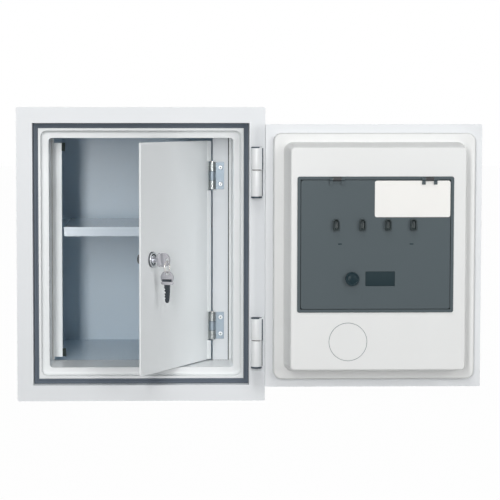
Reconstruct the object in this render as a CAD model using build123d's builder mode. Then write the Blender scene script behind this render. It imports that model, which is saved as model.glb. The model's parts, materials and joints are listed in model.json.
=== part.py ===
"""Small fireproof safe with its main door swung right back and its inner locker door ajar.

Units are millimetres, +Z is up, and the cabinet's front faces -Y. The origin is the centre of the
cabinet's bottom face. Both doors are drawn shut and then swung to the angles at which they stand.
Depths run inwards from the plane of the cabinet's front face, so a negative depth is outside.
"""

import math
import os

from build123d import *

os.makedirs("parts", exist_ok=True)

# Cabinet
body_width = 354
body_height = 420
body_depth = 433
shell_sheet = 1.5
shell_fold = 2.5
frame_face = 22.6
return_depth = 24
ledge_depth = 18.8
ledge_width = 10.8
step_depth = 14.2
step_width = 10.8
step_corner = 9
throat_depth = 84
throat_corner = 5
liner_wall = 3
seal_width = 7.5
seal_thickness = 1.6
back_fill = 48
field_inset = 40
field_rise = 0.6
field_corner = 12

# Steel locker inside the cabinet
locker_width = 260
locker_shift = -0.8
locker_sheet = 1.2
latch_post_width = 11.6
latch_post_gap = 13.6
latch_post_drop = 1.5
hinge_post_width = 22.4
post_return = 15
latch_return = 16
stop_width = 5
stop_height = 12
shelf_rise = 31.8
shelf_lip = 13.7
shelf_setback = 16
rail_leg = 12
rail_tread = 22

# Main door and its lift-off hinges
door_gap = 1.6
door_rim = 16.5
door_sheet = 1.5
door_proud = 0.6
door_swing = 180
hinge_x = 164.2
hinge_outset = 7.5
barrel_radius = 7
pin_radius = 4
top_hinge_rise = 120.4
low_hinge_drop = 122.8
cabinet_barrel = 39
door_barrel = 32
pin_rise = 22
pin_socket = 24
pin_root = 6
washer_thickness = 1
leaf_thickness = 3
leaf_reach = 30

# Moulded lining of the main door
lining_wall = 3
lining_inset_x = 10.9
lining_inset_z = 12.4
lining_step = 13
lining_step_corner = 11.5
tongue_height = 50
tongue_width = 256
tongue_length = 322.2
tongue_corner = 12.5
tongue_draft = 7.4
tongue_edge = 3
plug_radius = 26.3
plug_x = 41.6
plug_drop = 114.8

# Service tray behind the dark cover
tray_width = 216.3
tray_length = 188.1
tray_x = 4.2
tray_rise = 20.3
tray_rim = 4.2
tray_wall = 2
tray_rim_thickness = 1.6
tray_well = 37
lid_gap = 0.8
lid_sheet = 2.5
lid_skirt = 2
lid_corner = 3
lid_pin_radius = 1.1
lid_knuckle_radius = 2.4
lid_clip_width = 20.9
lid_clip_core = 11
lid_clips_x = (57.9, -69.9)
lid_axis_gap = 1.3
lid_skirt_inset = 1.5
lid_skirt_wall = 2
lid_ear_drop = 6
hook_width = 8.3
hook_length = 15.9
hook_reach = 7
hooks_x = (59.1, 22.7, -12.6, -47.8)
hook_rise = 27.8
catch_x = 36.8
catch_drop = 47
catch_radius = 9.4
catch_height = 8
catch_stem = 4
catch_arm = 16
recess_width = 40.9
recess_length = 20.5
recess_x = -2.4
recess_drop = 47.3
recess_sink = 1.2

# Boltwork, handle and lock parts
gear_module = 1.5
gear_teeth = 14
gear_pressure = 25
gear_backlash = 0.25
gear_width = 6
handle_x = -35
handle_drop = 5
spindle_radius = 4
bolt_radius = 6
bolt_spacing = 110
bolt_depth = 53
bolt_throw = 16.5
carriage_bar = 12
cup_wall = 2
rose_radius = 23
rose_height = 6
lever_length = 92
lever_standoff = 30
lever_hub = 13
lever_root = (6, 20, 12)
lever_waist = (24, 10)
lever_end = (16, 8)
lever_inset = 8
stub_length = 12
keeper_height = 14
keeper_sheet = 1.5
keeper_foot = 12
guide_width = 24
guide_foot = 14
guide_lip = 2
keypad_width = 84
keypad_length = 116
keypad_height = 15
keypad_x = 45
keypad_rise = 25
keypad_frame = (22, 32)
keypad_sink = 1.2
key_pitch = (19, 20)
key_size = 14
lock_case_size = (46, 40, 24)
lock_case_gap = 32
ear_pitch = (36, 30)
ear_radius = 2.6
cell_radius = 7.1
cell_length = 49
cell_gap = 0.6
cell_button = 2.7
cell_button_height = 1.3
holder_wall = 1.5
holder_spring = 4
holder_height = 12
holder_margin = (4, 6)

# Locker door, its butt hinges, lock and keys
locker_open = 63
axis_inset = 24.3
locker_axis_outset = 5
panel_sheet = 1.2
panel_hem = 2.4
hem_width = 10
panel_flange = 14
panel_side_gap = 1.5
panel_floor_gap = 1.6
panel_head_gap = 5
panel_corner = 3
knuckle_radius = 4.5
butt_length = 40
butt_leaf = 1.2
butt_reach = 17.5
top_butt_rise = 108.8
low_butt_drop = 114.1
butt_screw_pitch = 24.5
lock_inset = 33.9
lock_drop = 3
lock_length = 17.2
bezel_radius = 11
bezel_height = 3
barrel_lock_radius = 9
plug_core_radius = 6
cam_length = 39
cam_width = 14
cam_tongue = 8
key_thickness = 2
key_bow_radius = 9.8
key_bow_reach = 28.3
key_blade = 8
key_blade_length = 25
key_hole_radius = 2.6
key_hole_rim = 1.7
ring_radius = 8
ring_wire = 0.75

# Clearances
seat = 0.2
running = 0.05
slack = 0.3

# Worked out from the sizes above
front_y = -body_depth / 2
mid_z = body_height / 2
shelf_top = mid_z + shelf_rise
top_hinge_z = mid_z + top_hinge_rise
low_hinge_z = mid_z - low_hinge_drop
plug_z = mid_z - plug_drop
tray_z = mid_z + tray_rise
hook_z = tray_z + hook_rise
catch_z = tray_z - catch_drop
recess_z = tray_z - recess_drop
handle_z = mid_z - handle_drop
keypad_z = mid_z + keypad_rise
butts_z = (mid_z + top_butt_rise, mid_z - low_butt_drop)
lock_z = mid_z - lock_drop
opening_width = body_width - 2 * frame_face
opening_height = body_height - 2 * frame_face
step_opening = (opening_width - 2 * ledge_width, opening_height - 2 * ledge_width)
throat_opening = (step_opening[0] - 2 * step_width, step_opening[1] - 2 * step_width)
step_floor = ledge_depth + step_depth
throat_end = step_floor + throat_depth
locker_front = throat_end + 1
locker_back = body_depth - back_fill
locker_left = locker_shift - locker_width / 2
locker_right = locker_shift + locker_width / 2
locker_axis_x = locker_right - axis_inset
floor_z = mid_z - throat_opening[1] / 2
ceiling_z = mid_z + throat_opening[1] / 2
door_width = opening_width - 2 * door_gap
door_height = opening_height - 2 * door_gap
door_front = -door_proud
rim_depth = door_front + door_rim
lining_top = rim_depth + lining_step
face_depth = lining_top + tongue_height
tray_face = face_depth + tray_rim_thickness
tray_floor = tray_face - tray_well
mouth_width = tray_width - 2 * tray_rim
mouth_length = tray_length - 2 * tray_rim
lid_width = mouth_width - 2 * lid_gap
lid_length = mouth_length - 2 * lid_gap
lid_head = tray_z + lid_length / 2
lid_axis_z = lid_head + lid_axis_gap
lid_axis_depth = tray_face + lid_knuckle_radius + slack
gear_radius = gear_module * gear_teeth / 2
gear_pitch = math.pi * gear_module
rack_line = handle_z + gear_radius
bolts_z = (tray_z - bolt_spacing / 2, tray_z + bolt_spacing / 2)
tongue_side = tongue_width / 2 - (bolt_depth - lining_top) * math.tan(math.radians(tongue_draft))
bolt_tip = 1.4 - tongue_side
tray_side = tray_x - mouth_width / 2
bar_left = tray_side + bolt_throw + 1.5
throat_side = -throat_opening[0] / 2
axis_depth = locker_front - locker_axis_outset
panel_left = locker_left + locker_sheet + latch_post_width + panel_side_gap
panel_right = locker_axis_x - panel_side_gap - butt_leaf / 2
panel_low = floor_z + panel_floor_gap
panel_high = ceiling_z - panel_head_gap
lock_x = panel_left + lock_inset
lock_back = locker_front + lock_length

main_axis = Axis((hinge_x, front_y - hinge_outset, 0), (0, 0, 1))
locker_axis = Axis((locker_axis_x, front_y + axis_depth, 0), (0, 0, 1))


def inward(depth):
    """Upright plane at a depth, facing into the cabinet: its local x runs to the left."""
    return Plane(origin=(0, front_y + depth, 0), x_dir=(-1, 0, 0), z_dir=(0, 1, 0))


def prism(width, height, near, far, corner=0.0, x=0.0, z=mid_z, taper=0.0, mode=Mode.ADD):
    """Upright block with rounded corners from one depth to another, in the open builder."""
    with BuildSketch(inward(near)) as outline:
        with Locations((-x, z)):
            if corner > 0:
                RectangleRounded(width, height, corner)
            else:
                Rectangle(width, height)
    extrude(outline.sketch, amount=far - near, taper=taper, mode=mode)


def disc(radius, near, far, x, z, mode=Mode.ADD):
    """Round bar that runs inwards."""
    with BuildSketch(inward(near)) as outline:
        with Locations((-x, z)):
            Circle(radius)
    extrude(outline.sketch, amount=far - near, mode=mode)


def bar(radius, left, right, depth, z, mode=Mode.ADD):
    """Round bar that runs across."""
    with BuildSketch(Plane.YZ.offset(left)) as outline:
        with Locations((front_y + depth, z)):
            Circle(radius)
    extrude(outline.sketch, amount=right - left, mode=mode)


def post(radius, low, high, x, depth, mode=Mode.ADD):
    """Round bar that stands upright."""
    with BuildSketch(Plane.XY.offset(low)) as outline:
        with Locations((x, front_y + depth)):
            Circle(radius)
    extrude(outline.sketch, amount=high - low, mode=mode)


def block(left, right, near, far, low, high, mode=Mode.ADD):
    """Square block between two x, two depths and two heights."""
    prism(right - left, high - low, near, far, 0, (left + right) / 2, (low + high) / 2, mode=mode)


def save(part, name):
    """Label a finished piece and write it where it stands."""
    part.label = name
    export_step(part, f"parts/{name}.step")


def save_on_main_door(part, name):
    """Swing a piece of the main door right back, then write it."""
    save(part.rotate(main_axis, door_swing), name)


def save_on_locker_door(part, name):
    """Swing a piece of the locker door ajar, then write it."""
    save(part.rotate(locker_axis, locker_open), name)


# Outer shell: folded sheet, with the front frame and the flange that turns in round the opening
with BuildPart() as outer_shell:
    prism(body_width, body_height, 0, body_depth)
    fillet(outer_shell.edges().filter_by(Axis.Y), shell_fold)
    prism(
        body_width - 2 * shell_sheet,
        body_height - 2 * shell_sheet,
        shell_sheet,
        body_depth,
        mode=Mode.SUBTRACT,
    )
    prism(opening_width + 2 * shell_sheet, opening_height + 2 * shell_sheet, 0, return_depth)
    prism(opening_width, opening_height, 0, return_depth, mode=Mode.SUBTRACT)
save(outer_shell.part, "outer_shell")

# Rear panel: a sheet let in flush with the back of the shell, stiffened by a shallow pressed field
with BuildPart() as rear_panel:
    panel_inset = 2 * (shell_sheet + seat)
    prism(body_width - panel_inset, body_height - panel_inset, body_depth - shell_sheet, body_depth)
    prism(
        body_width - panel_inset - 2 * field_inset,
        body_height - panel_inset - 2 * field_inset,
        body_depth - shell_sheet,
        body_depth - shell_sheet + field_rise,
        corner=field_corner,
        mode=Mode.SUBTRACT,
    )
    prism(
        body_width - panel_inset - 2 * (field_inset + 2 * field_rise),
        body_height - panel_inset - 2 * (field_inset + 2 * field_rise),
        body_depth,
        body_depth + field_rise,
        corner=field_corner - field_rise,
    )
save(rear_panel.part, "rear_panel")

# Fire fill: cast between the shell and the liner, stepped to follow both
with BuildPart() as fire_fill:
    fill_inset = 2 * (shell_sheet + slack)
    prism(
        body_width - fill_inset,
        body_height - fill_inset,
        shell_sheet + slack,
        body_depth - shell_sheet - slack,
    )
    prism(
        opening_width + fill_inset,
        opening_height + fill_inset,
        0,
        return_depth + slack,
        mode=Mode.SUBTRACT,
    )
    liner_inset = 2 * (liner_wall + slack)
    prism(
        step_opening[0] + liner_inset,
        step_opening[1] + liner_inset,
        0,
        step_floor + liner_wall + slack,
        mode=Mode.SUBTRACT,
    )
    prism(
        throat_opening[0] + liner_inset,
        throat_opening[1] + liner_inset,
        0,
        throat_end + slack,
        mode=Mode.SUBTRACT,
    )
    prism(
        locker_width + 2 * slack,
        throat_opening[1] + 2 * (locker_sheet + slack),
        0,
        locker_back + locker_sheet + slack,
        x=locker_shift,
        mode=Mode.SUBTRACT,
    )
    for bolt_z in bolts_z:
        bar(
            bolt_radius + 2 * cup_wall + 0.5,
            throat_side - 16,
            throat_side,
            bolt_depth,
            bolt_z,
            mode=Mode.SUBTRACT,
        )
save(fire_fill.part, "fire_fill")

# Throat liner: one moulding with the seal ledge, a stepped recess and the smooth throat
with BuildPart() as throat_liner:
    prism(
        opening_width - 2 * seat,
        opening_height - 2 * seat,
        ledge_depth,
        ledge_depth + liner_wall,
    )
    prism(
        step_opening[0] + 2 * liner_wall,
        step_opening[1] + 2 * liner_wall,
        ledge_depth,
        step_floor + liner_wall,
        corner=step_corner + liner_wall,
    )
    prism(
        throat_opening[0] + 2 * liner_wall,
        throat_opening[1] + 2 * liner_wall,
        step_floor,
        throat_end,
        corner=throat_corner + liner_wall,
    )
    prism(*step_opening, ledge_depth, step_floor, corner=step_corner, mode=Mode.SUBTRACT)
    prism(*throat_opening, step_floor, throat_end, corner=throat_corner, mode=Mode.SUBTRACT)
    step_root = throat_liner.edges().filter_by(
        lambda e: abs(e.center().Y - front_y - step_floor) < 0.01
        and (
            abs(e.center().X) > throat_opening[0] / 2 + 2
            or abs(e.center().Z - mid_z) > throat_opening[1] / 2 + 2
        )
        and abs(e.center().X) < step_opening[0] / 2 + 1
        and abs(e.center().Z - mid_z) < step_opening[1] / 2 + 1
    )
    fillet(step_root, 4)
    for bolt_z in bolts_z:
        bar(
            bolt_radius + 2 * cup_wall,
            throat_side - liner_wall - 1,
            throat_side + 1,
            bolt_depth,
            bolt_z,
            mode=Mode.SUBTRACT,
        )
save(throat_liner.part, "throat_liner")

# Door seal: swelling graphite strip bonded to the ledge
with BuildPart() as door_seal:
    seal_outer = (opening_width - 2 * slack, opening_height - 2 * slack)
    prism(*seal_outer, ledge_depth - seal_thickness, ledge_depth)
    prism(
        seal_outer[0] - 2 * seal_width,
        seal_outer[1] - 2 * seal_width,
        ledge_depth - seal_thickness,
        ledge_depth,
        mode=Mode.SUBTRACT,
    )
save(door_seal.part, "door_seal")

# Strike cups: steel cups let into the throat wall, which the bolts shoot into
with BuildPart() as strike_cups:
    for bolt_z in bolts_z:
        bar(
            bolt_radius + 2 * cup_wall - seat,
            throat_side - liner_wall - bolt_throw / 2 - 1,
            throat_side,
            bolt_depth,
            bolt_z,
        )
        bar(
            bolt_radius + cup_wall / 2,
            throat_side - liner_wall - bolt_throw / 2 + 0.5,
            throat_side,
            bolt_depth,
            bolt_z,
            mode=Mode.SUBTRACT,
        )
save(strike_cups.part, "strike_cups")

# Locker shell: folded steel box, open at the front
with BuildPart() as locker_shell:
    locker_height = throat_opening[1] + 2 * locker_sheet
    prism(
        locker_width,
        locker_height,
        locker_front,
        locker_back + locker_sheet,
        x=locker_shift,
    )
    prism(
        locker_width - 2 * locker_sheet,
        throat_opening[1],
        locker_front,
        locker_back,
        x=locker_shift,
        mode=Mode.SUBTRACT,
    )
save(locker_shell.part, "locker_shell")

# Latch post: folded strip with the face and a return, and a stop tab near each end for the door
post_height = throat_opening[1] - latch_post_gap
post_low = mid_z - post_height / 2 - latch_post_drop
post_face_left = locker_left + locker_sheet
post_face_right = post_face_left + latch_post_width
with BuildPart() as latch_post:
    with BuildSketch(Plane.XY.offset(post_low)):
        with BuildLine():
            near = front_y + locker_front
            far = near + latch_return
            Polyline(
                (post_face_left, near),
                (post_face_right, near),
                (post_face_right, far),
                (post_face_right - locker_sheet, far),
                (post_face_right - locker_sheet, near + locker_sheet),
                (post_face_left, near + locker_sheet),
                close=True,
            )
        make_face()
    extrude(amount=post_height)
    stop_near = locker_front + panel_hem + slack
    for stop_low in (post_low, post_low + post_height - stop_height):
        block(
            post_face_right - locker_sheet,
            post_face_right + stop_width,
            stop_near,
            stop_near + locker_sheet,
            stop_low,
            stop_low + stop_height,
        )
save(latch_post.part, "latch_post")

# Hinge post: the wider folded strip that carries the butt hinges
hinge_face_right = locker_right - locker_sheet
hinge_face_left = hinge_face_right - hinge_post_width
with BuildPart() as hinge_post:
    with BuildSketch(Plane.XY.offset(floor_z)):
        with BuildLine():
            near = front_y + locker_front
            Polyline(
                (hinge_face_right, near),
                (hinge_face_left, near),
                (hinge_face_left, near + post_return),
                (hinge_face_left + locker_sheet, near + post_return),
                (hinge_face_left + locker_sheet, near + locker_sheet),
                (hinge_face_right, near + locker_sheet),
                close=True,
            )
        make_face()
    extrude(amount=throat_opening[1])
save(hinge_post.part, "hinge_post")

# Shelf: folded tray shelf with a front lip, short enough to pass between the posts
shelf_left = post_face_right + 2.3
shelf_right = hinge_face_left - 2.3
shelf_near = locker_front + shelf_setback
shelf_far = locker_back - 1.5
with BuildPart() as shelf:
    with BuildSketch(Plane.YZ.offset(shelf_left)):
        with BuildLine():
            near = front_y + shelf_near
            far = front_y + shelf_far
            Polyline(
                (near, shelf_top - shelf_lip),
                (near, shelf_top),
                (far, shelf_top),
                (far, shelf_top - shelf_lip / 2),
                (far - locker_sheet, shelf_top - shelf_lip / 2),
                (far - locker_sheet, shelf_top - locker_sheet),
                (near + locker_sheet, shelf_top - locker_sheet),
                (near + locker_sheet, shelf_top - shelf_lip),
                close=True,
            )
        make_face()
    extrude(amount=shelf_right - shelf_left)
save(shelf.part, "shelf")

# Shelf rails: one angle on each side wall
rail_top = shelf_top - locker_sheet
left_wall = locker_left + locker_sheet
right_wall = locker_right - locker_sheet
with BuildPart() as shelf_rails:
    for wall, sense, tread in (
        (left_wall, 1, rail_tread),
        (right_wall, -1, right_wall - shelf_right + rail_tread / 3),
    ):
        with BuildSketch(Plane.XZ.offset(-(front_y + shelf_near + 3))):
            with BuildLine():
                Polyline(
                    (wall, rail_top),
                    (wall + sense * tread, rail_top),
                    (wall + sense * tread, rail_top - locker_sheet),
                    (wall + sense * locker_sheet, rail_top - locker_sheet),
                    (wall + sense * locker_sheet, rail_top - rail_leg),
                    (wall, rail_top - rail_leg),
                    close=True,
                )
            make_face()
        extrude(amount=-(shelf_far - shelf_near - 8))
save(shelf_rails.part, "shelf_rails")

# Cabinet halves of the lift-off hinges: barrels on welding feet
hinge_heights = (top_hinge_z, low_hinge_z)
with BuildPart() as cabinet_barrels:
    for middle in hinge_heights:
        post(barrel_radius, middle - cabinet_barrel, middle, hinge_x, -hinge_outset)
        block(hinge_x - 4.5, hinge_x + 4.5, -hinge_outset, 0, middle - cabinet_barrel, middle)
    chamfer(cabinet_barrels.edges().filter_by(GeomType.CIRCLE).sort_by(Axis.Z)[0], 1)
    for middle in hinge_heights:
        post(
            pin_radius,
            middle - cabinet_barrel + pin_root,
            middle,
            hinge_x,
            -hinge_outset,
            mode=Mode.SUBTRACT,
        )
save(cabinet_barrels.part, "cabinet_barrels")

# Hinge pins: pressed into the lower barrels, with a rounded nose
with BuildPart() as hinge_pins:
    for middle in hinge_heights:
        post(pin_radius, middle - cabinet_barrel + pin_root, middle + pin_rise, hinge_x, -hinge_outset)
    noses = hinge_pins.edges().filter_by(GeomType.CIRCLE).group_by(Axis.Z)
    fillet(noses[-1] + noses[1], 1.5)
save(hinge_pins.part, "hinge_pins")

# Hinge washers: brass, between the halves
with BuildPart() as hinge_washers:
    for middle in hinge_heights:
        post(barrel_radius - 0.8, middle, middle + washer_thickness, hinge_x, -hinge_outset)
        post(
            pin_radius + running,
            middle,
            middle + washer_thickness,
            hinge_x,
            -hinge_outset,
            mode=Mode.SUBTRACT,
        )
save(hinge_washers.part, "hinge_washers")

# Door halves of the lift-off hinges: barrels with leaves welded on the door's front
with BuildPart() as door_barrels:
    for middle in hinge_heights:
        low = middle + washer_thickness + running
        high = low + door_barrel
        post(barrel_radius, low, high, hinge_x, -hinge_outset)
        block(
            hinge_x - leaf_reach,
            hinge_x,
            door_front - leaf_thickness,
            door_front,
            low,
            high,
        )
    corners = door_barrels.edges().filter_by(Axis.Y).group_by(Axis.X)[0]
    fillet(corners, 3)
    for middle in hinge_heights:
        post(
            pin_radius + running,
            middle + washer_thickness + running,
            middle + pin_socket,
            hinge_x,
            -hinge_outset,
            mode=Mode.SUBTRACT,
        )
save_on_main_door(door_barrels.part, "door_barrels")

# Door skin: a pressed pan with its lips turned in round the lining
with BuildPart() as door_skin:
    prism(door_width, door_height, door_front, rim_depth)
    fillet(door_skin.edges().filter_by(Axis.Y), 2)
    front_edges = door_skin.faces().sort_by(Axis.Y)[0].edges()
    fillet(front_edges, 1.4)
    prism(
        door_width - 2 * door_sheet,
        door_height - 2 * door_sheet,
        door_front + door_sheet,
        rim_depth - door_sheet,
        mode=Mode.SUBTRACT,
    )
    prism(
        door_width - 2 * lining_inset_x + 2 * seat,
        door_height - 2 * lining_inset_z + 2 * seat,
        rim_depth - door_sheet,
        rim_depth,
        corner=lining_step_corner + seat,
        mode=Mode.SUBTRACT,
    )
    disc(spindle_radius + 1, door_front, door_front + door_sheet, handle_x, handle_z, Mode.SUBTRACT)
save_on_main_door(door_skin.part, "door_skin")

# Rim strip: a narrow steel strip down the hinge side of the rim
with BuildPart() as rim_strip:
    strip_width = lining_inset_x - 2
    prism(
        strip_width,
        door_height - 4,
        rim_depth,
        rim_depth + 0.8,
        x=door_width / 2 - strip_width / 2 - 0.5,
        z=mid_z + 1,
    )
save_on_main_door(rim_strip.part, "rim_strip")

# Door lining: one deep moulding, a flange held under the lips, a low step and the tapered tongue
step_width_out = door_width - 2 * lining_inset_x
step_height_out = door_height - 2 * lining_inset_z
flange_far = rim_depth - door_sheet - seat
with BuildPart() as door_lining:
    prism(step_width_out + 12, step_height_out + 12, flange_far - lining_wall, flange_far)
    prism(
        step_width_out,
        step_height_out,
        flange_far - lining_wall,
        lining_top,
        corner=lining_step_corner,
    )
    prism(
        tongue_width,
        tongue_length,
        lining_top,
        face_depth,
        corner=tongue_corner,
        taper=tongue_draft,
    )
    fillet(door_lining.faces().sort_by(Axis.Y)[-1].edges(), tongue_edge)
    step_rim = door_lining.edges().filter_by(
        lambda e: abs(e.center().Y - front_y - lining_top) < 0.01
        and (
            abs(e.center().X) > tongue_width / 2 + 2
            or abs(e.center().Z - mid_z) > tongue_length / 2 + 2
        )
    )
    fillet(step_rim, 2.5)
    prism(
        step_width_out - 2 * lining_wall,
        step_height_out - 2 * lining_wall,
        flange_far - lining_wall,
        lining_top - lining_wall,
        corner=lining_step_corner - lining_wall,
        mode=Mode.SUBTRACT,
    )
    prism(
        tongue_width - 2 * lining_wall,
        tongue_length - 2 * lining_wall,
        lining_top - lining_wall,
        face_depth - lining_wall,
        corner=tongue_corner - lining_wall,
        taper=tongue_draft,
        mode=Mode.SUBTRACT,
    )
    prism(
        mouth_width + 2 * tray_wall + 2 * seat,
        mouth_length + 2 * tray_wall + 2 * seat,
        face_depth - 2 * lining_wall,
        face_depth + 1,
        x=tray_x,
        z=tray_z,
        mode=Mode.SUBTRACT,
    )
    disc(plug_radius + seat, face_depth - 2 * lining_wall, face_depth + 1, plug_x, plug_z, Mode.SUBTRACT)
    for bolt_z in bolts_z:
        bar(
            bolt_radius + cup_wall,
            -tongue_width / 2,
            -tongue_width / 2 + 20,
            bolt_depth,
            bolt_z,
            mode=Mode.SUBTRACT,
        )
save_on_main_door(door_lining.part, "door_lining")

# Filler plug: a round cap snapped into the filling hole of the lining
with BuildPart() as filler_plug:
    disc(plug_radius, face_depth - lining_wall, face_depth, plug_x, plug_z)
    disc(plug_radius - 4, face_depth - lining_wall - 5, face_depth - lining_wall, plug_x, plug_z)
    disc(
        plug_radius - 6,
        face_depth - lining_wall - 5,
        face_depth - lining_wall,
        plug_x,
        plug_z,
        Mode.SUBTRACT,
    )
save_on_main_door(filler_plug.part, "filler_plug")

# Door fill: cast into the pan and the lining, open for the tray, the plug and the spindle
fill_wall = lining_wall + slack
with BuildPart() as door_fill:
    prism(
        door_width - 2 * door_sheet - 2 * slack,
        door_height - 2 * door_sheet - 2 * slack,
        door_front + door_sheet + slack,
        flange_far - lining_wall - slack,
    )
    prism(
        step_width_out - 2 * fill_wall,
        step_height_out - 2 * fill_wall,
        flange_far - lining_wall - slack,
        lining_top - fill_wall,
        corner=lining_step_corner - lining_wall,
    )
    prism(
        tongue_width - 2 * fill_wall,
        tongue_length - 2 * fill_wall,
        lining_top - fill_wall,
        face_depth - fill_wall,
        corner=tongue_corner - lining_wall,
        taper=tongue_draft,
    )
    prism(
        mouth_width + 2 * tray_wall + 2 * slack,
        mouth_length + 2 * tray_wall + 2 * slack,
        tray_floor - tray_wall - slack,
        face_depth,
        x=tray_x,
        z=tray_z,
        mode=Mode.SUBTRACT,
    )
    disc(plug_radius, face_depth - lining_wall - 6, face_depth, plug_x, plug_z, Mode.SUBTRACT)
    disc(spindle_radius + 2, door_front, tray_floor, handle_x, handle_z, Mode.SUBTRACT)
    for bolt_z in bolts_z:
        bar(
            bolt_radius + cup_wall + slack,
            -tongue_width / 2,
            tray_side,
            bolt_depth,
            bolt_z,
            mode=Mode.SUBTRACT,
        )
save_on_main_door(door_fill.part, "door_fill")

# Service tray: dark moulded well with a thin rim on the lining's face
with BuildPart() as service_tray:
    prism(tray_width, tray_length, face_depth, tray_face, corner=lid_corner, x=tray_x, z=tray_z)
    prism(
        mouth_width + 2 * tray_wall,
        mouth_length + 2 * tray_wall,
        tray_floor - tray_wall,
        face_depth,
        x=tray_x,
        z=tray_z,
    )
    prism(mouth_width, mouth_length, tray_floor, tray_face, x=tray_x, z=tray_z, mode=Mode.SUBTRACT)
    disc(spindle_radius + slack, tray_floor - tray_wall, tray_floor, handle_x, handle_z, Mode.SUBTRACT)
    for bolt_z in bolts_z:
        bar(
            bolt_radius + cup_wall,
            tray_side - tray_wall,
            tray_side,
            bolt_depth,
            bolt_z,
            mode=Mode.SUBTRACT,
        )
save_on_main_door(service_tray.part, "service_tray")

# Bolt sleeves: the tubes that carry the bolts from the tray to the side of the tongue
with BuildPart() as bolt_sleeves:
    for bolt_z in bolts_z:
        bar(bolt_radius + cup_wall - seat, bolt_tip, tray_side, bolt_depth, bolt_z)
        bar(
            bolt_radius + running,
            bolt_tip,
            tray_side,
            bolt_depth,
            bolt_z,
            mode=Mode.SUBTRACT,
        )
save_on_main_door(bolt_sleeves.part, "bolt_sleeves")

# Door bolts: turned bars with a rounded nose
bar_right = bar_left + carriage_bar
with BuildPart() as door_bolts:
    for bolt_z in bolts_z:
        bar(bolt_radius, bolt_tip, bar_left, bolt_depth, bolt_z)
    fillet(door_bolts.edges().filter_by(GeomType.CIRCLE).group_by(Axis.X)[0], 2)
save_on_main_door(door_bolts.part, "door_bolts")


def rack_outline(centre_x, line_z, first, last):
    """Teeth that point down from a pitch line, with a gap over the pinion's centre."""
    slope = math.tan(math.radians(gear_pressure))
    half = gear_pitch / 4 - gear_backlash / 2
    above = 1.2 * gear_module
    below = 0.9 * gear_module
    for index in range(first, last):
        x = centre_x + (index + 0.5) * gear_pitch
        with BuildLine() as tooth_edge:
            Polyline(
                (-(x - half - above * slope), line_z + above),
                (-(x - half + below * slope), line_z - below),
                (-(x + half - below * slope), line_z - below),
                (-(x + half + above * slope), line_z + above),
                close=True,
            )
        make_face(tooth_edge.edges())


# Bolt carriage: an upright bar behind both bolts, with the rack arm in one piece
carriage_near = bolt_depth - gear_width / 2
carriage_far = bolt_depth + gear_width / 2
arm_low = rack_line + 1.2 * gear_module
arm_high = arm_low + 8
arm_end = handle_x + bolt_throw + 3 * gear_pitch
with BuildPart() as bolt_carriage:
    block(
        bar_left,
        bar_right,
        carriage_near,
        carriage_far,
        bolts_z[0] - bolt_radius - 4,
        bolts_z[1] + bolt_radius + 4,
    )
    fillet(bolt_carriage.edges().filter_by(Axis.Y), 4)
    block(bar_right - 2, arm_end, carriage_near, carriage_far, arm_low, arm_high)
    with BuildSketch(inward(carriage_near)) as rack:
        rack_outline(handle_x, rack_line, -2, 6)
    extrude(rack.sketch, amount=gear_width)
save_on_main_door(bolt_carriage.part, "bolt_carriage")

# Rack guide: an angle on the tray's floor that keeps the arm on its pinion
with BuildPart() as rack_guide:
    with BuildSketch(Plane.YZ.offset(handle_x - 10)):
        with BuildLine():
            foot = front_y + tray_floor
            lip = front_y + carriage_far + slack
            Polyline(
                (foot, arm_high + slack),
                (lip, arm_high + slack),
                (lip, arm_high - 3),
                (lip + guide_lip, arm_high - 3),
                (lip + guide_lip, arm_high + 4),
                (foot + guide_lip, arm_high + 4),
                (foot + guide_lip, arm_high + guide_foot),
                (foot, arm_high + guide_foot),
                close=True,
            )
        make_face()
    extrude(amount=guide_width)
save_on_main_door(rack_guide.part, "rack_guide")


def tooth_outline():
    """One involute tooth that points along local x, closed below the root circle."""
    pressure = math.radians(gear_pressure)
    base = gear_radius * math.cos(pressure)
    tip = gear_radius + 0.9 * gear_module
    half = math.pi / (2 * gear_teeth) - gear_backlash / (2 * gear_radius)
    involute = math.tan(pressure) - pressure
    flank = []
    steps = 4
    for step in range(steps + 1):
        radius = base + (tip - base) * step / steps
        angle = math.acos(base / radius)
        turn = half + involute - (math.tan(angle) - angle)
        flank.append((radius * math.cos(turn), radius * math.sin(turn)))
    root = gear_radius - 1.6 * gear_module
    with BuildLine() as tooth_edge:
        Spline(*flank)
        Line(flank[-1], (flank[-1][0], -flank[-1][1]))
        Spline(*[(x, -y) for x, y in flank])
        Polyline((flank[0][0], -flank[0][1]), (root, -flank[0][1]), (root, flank[0][1]), flank[0])
    make_face(tooth_edge.edges())


# Bolt pinion: involute gear on the spindle, in mesh with the rack
with BuildPart() as bolt_pinion:
    with BuildSketch(Plane.XY) as tooth:
        tooth_outline()
    with BuildSketch(inward(carriage_near)) as pinion_outline:
        with Locations((-handle_x, handle_z)):
            Circle(gear_radius - 1.2 * gear_module)
        for index in range(gear_teeth):
            turn = 90 + 360 * index / gear_teeth
            with Locations(Location((-handle_x, handle_z, 0), (0, 0, turn))):
                add(tooth.sketch)
        with Locations((-handle_x, handle_z)):
            Circle(spindle_radius, mode=Mode.SUBTRACT)
    extrude(pinion_outline.sketch, amount=gear_width)
save_on_main_door(bolt_pinion.part, "bolt_pinion")

# Handle rose: turned plate that the spindle runs in
with BuildPart() as handle_rose:
    disc(rose_radius, door_front - rose_height, door_front, handle_x, handle_z)
    fillet(handle_rose.faces().sort_by(Axis.Y)[0].edges(), 3)
    disc(
        spindle_radius + running,
        door_front - rose_height,
        door_front,
        handle_x,
        handle_z,
        Mode.SUBTRACT,
    )
save_on_main_door(handle_rose.part, "handle_rose")

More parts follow.
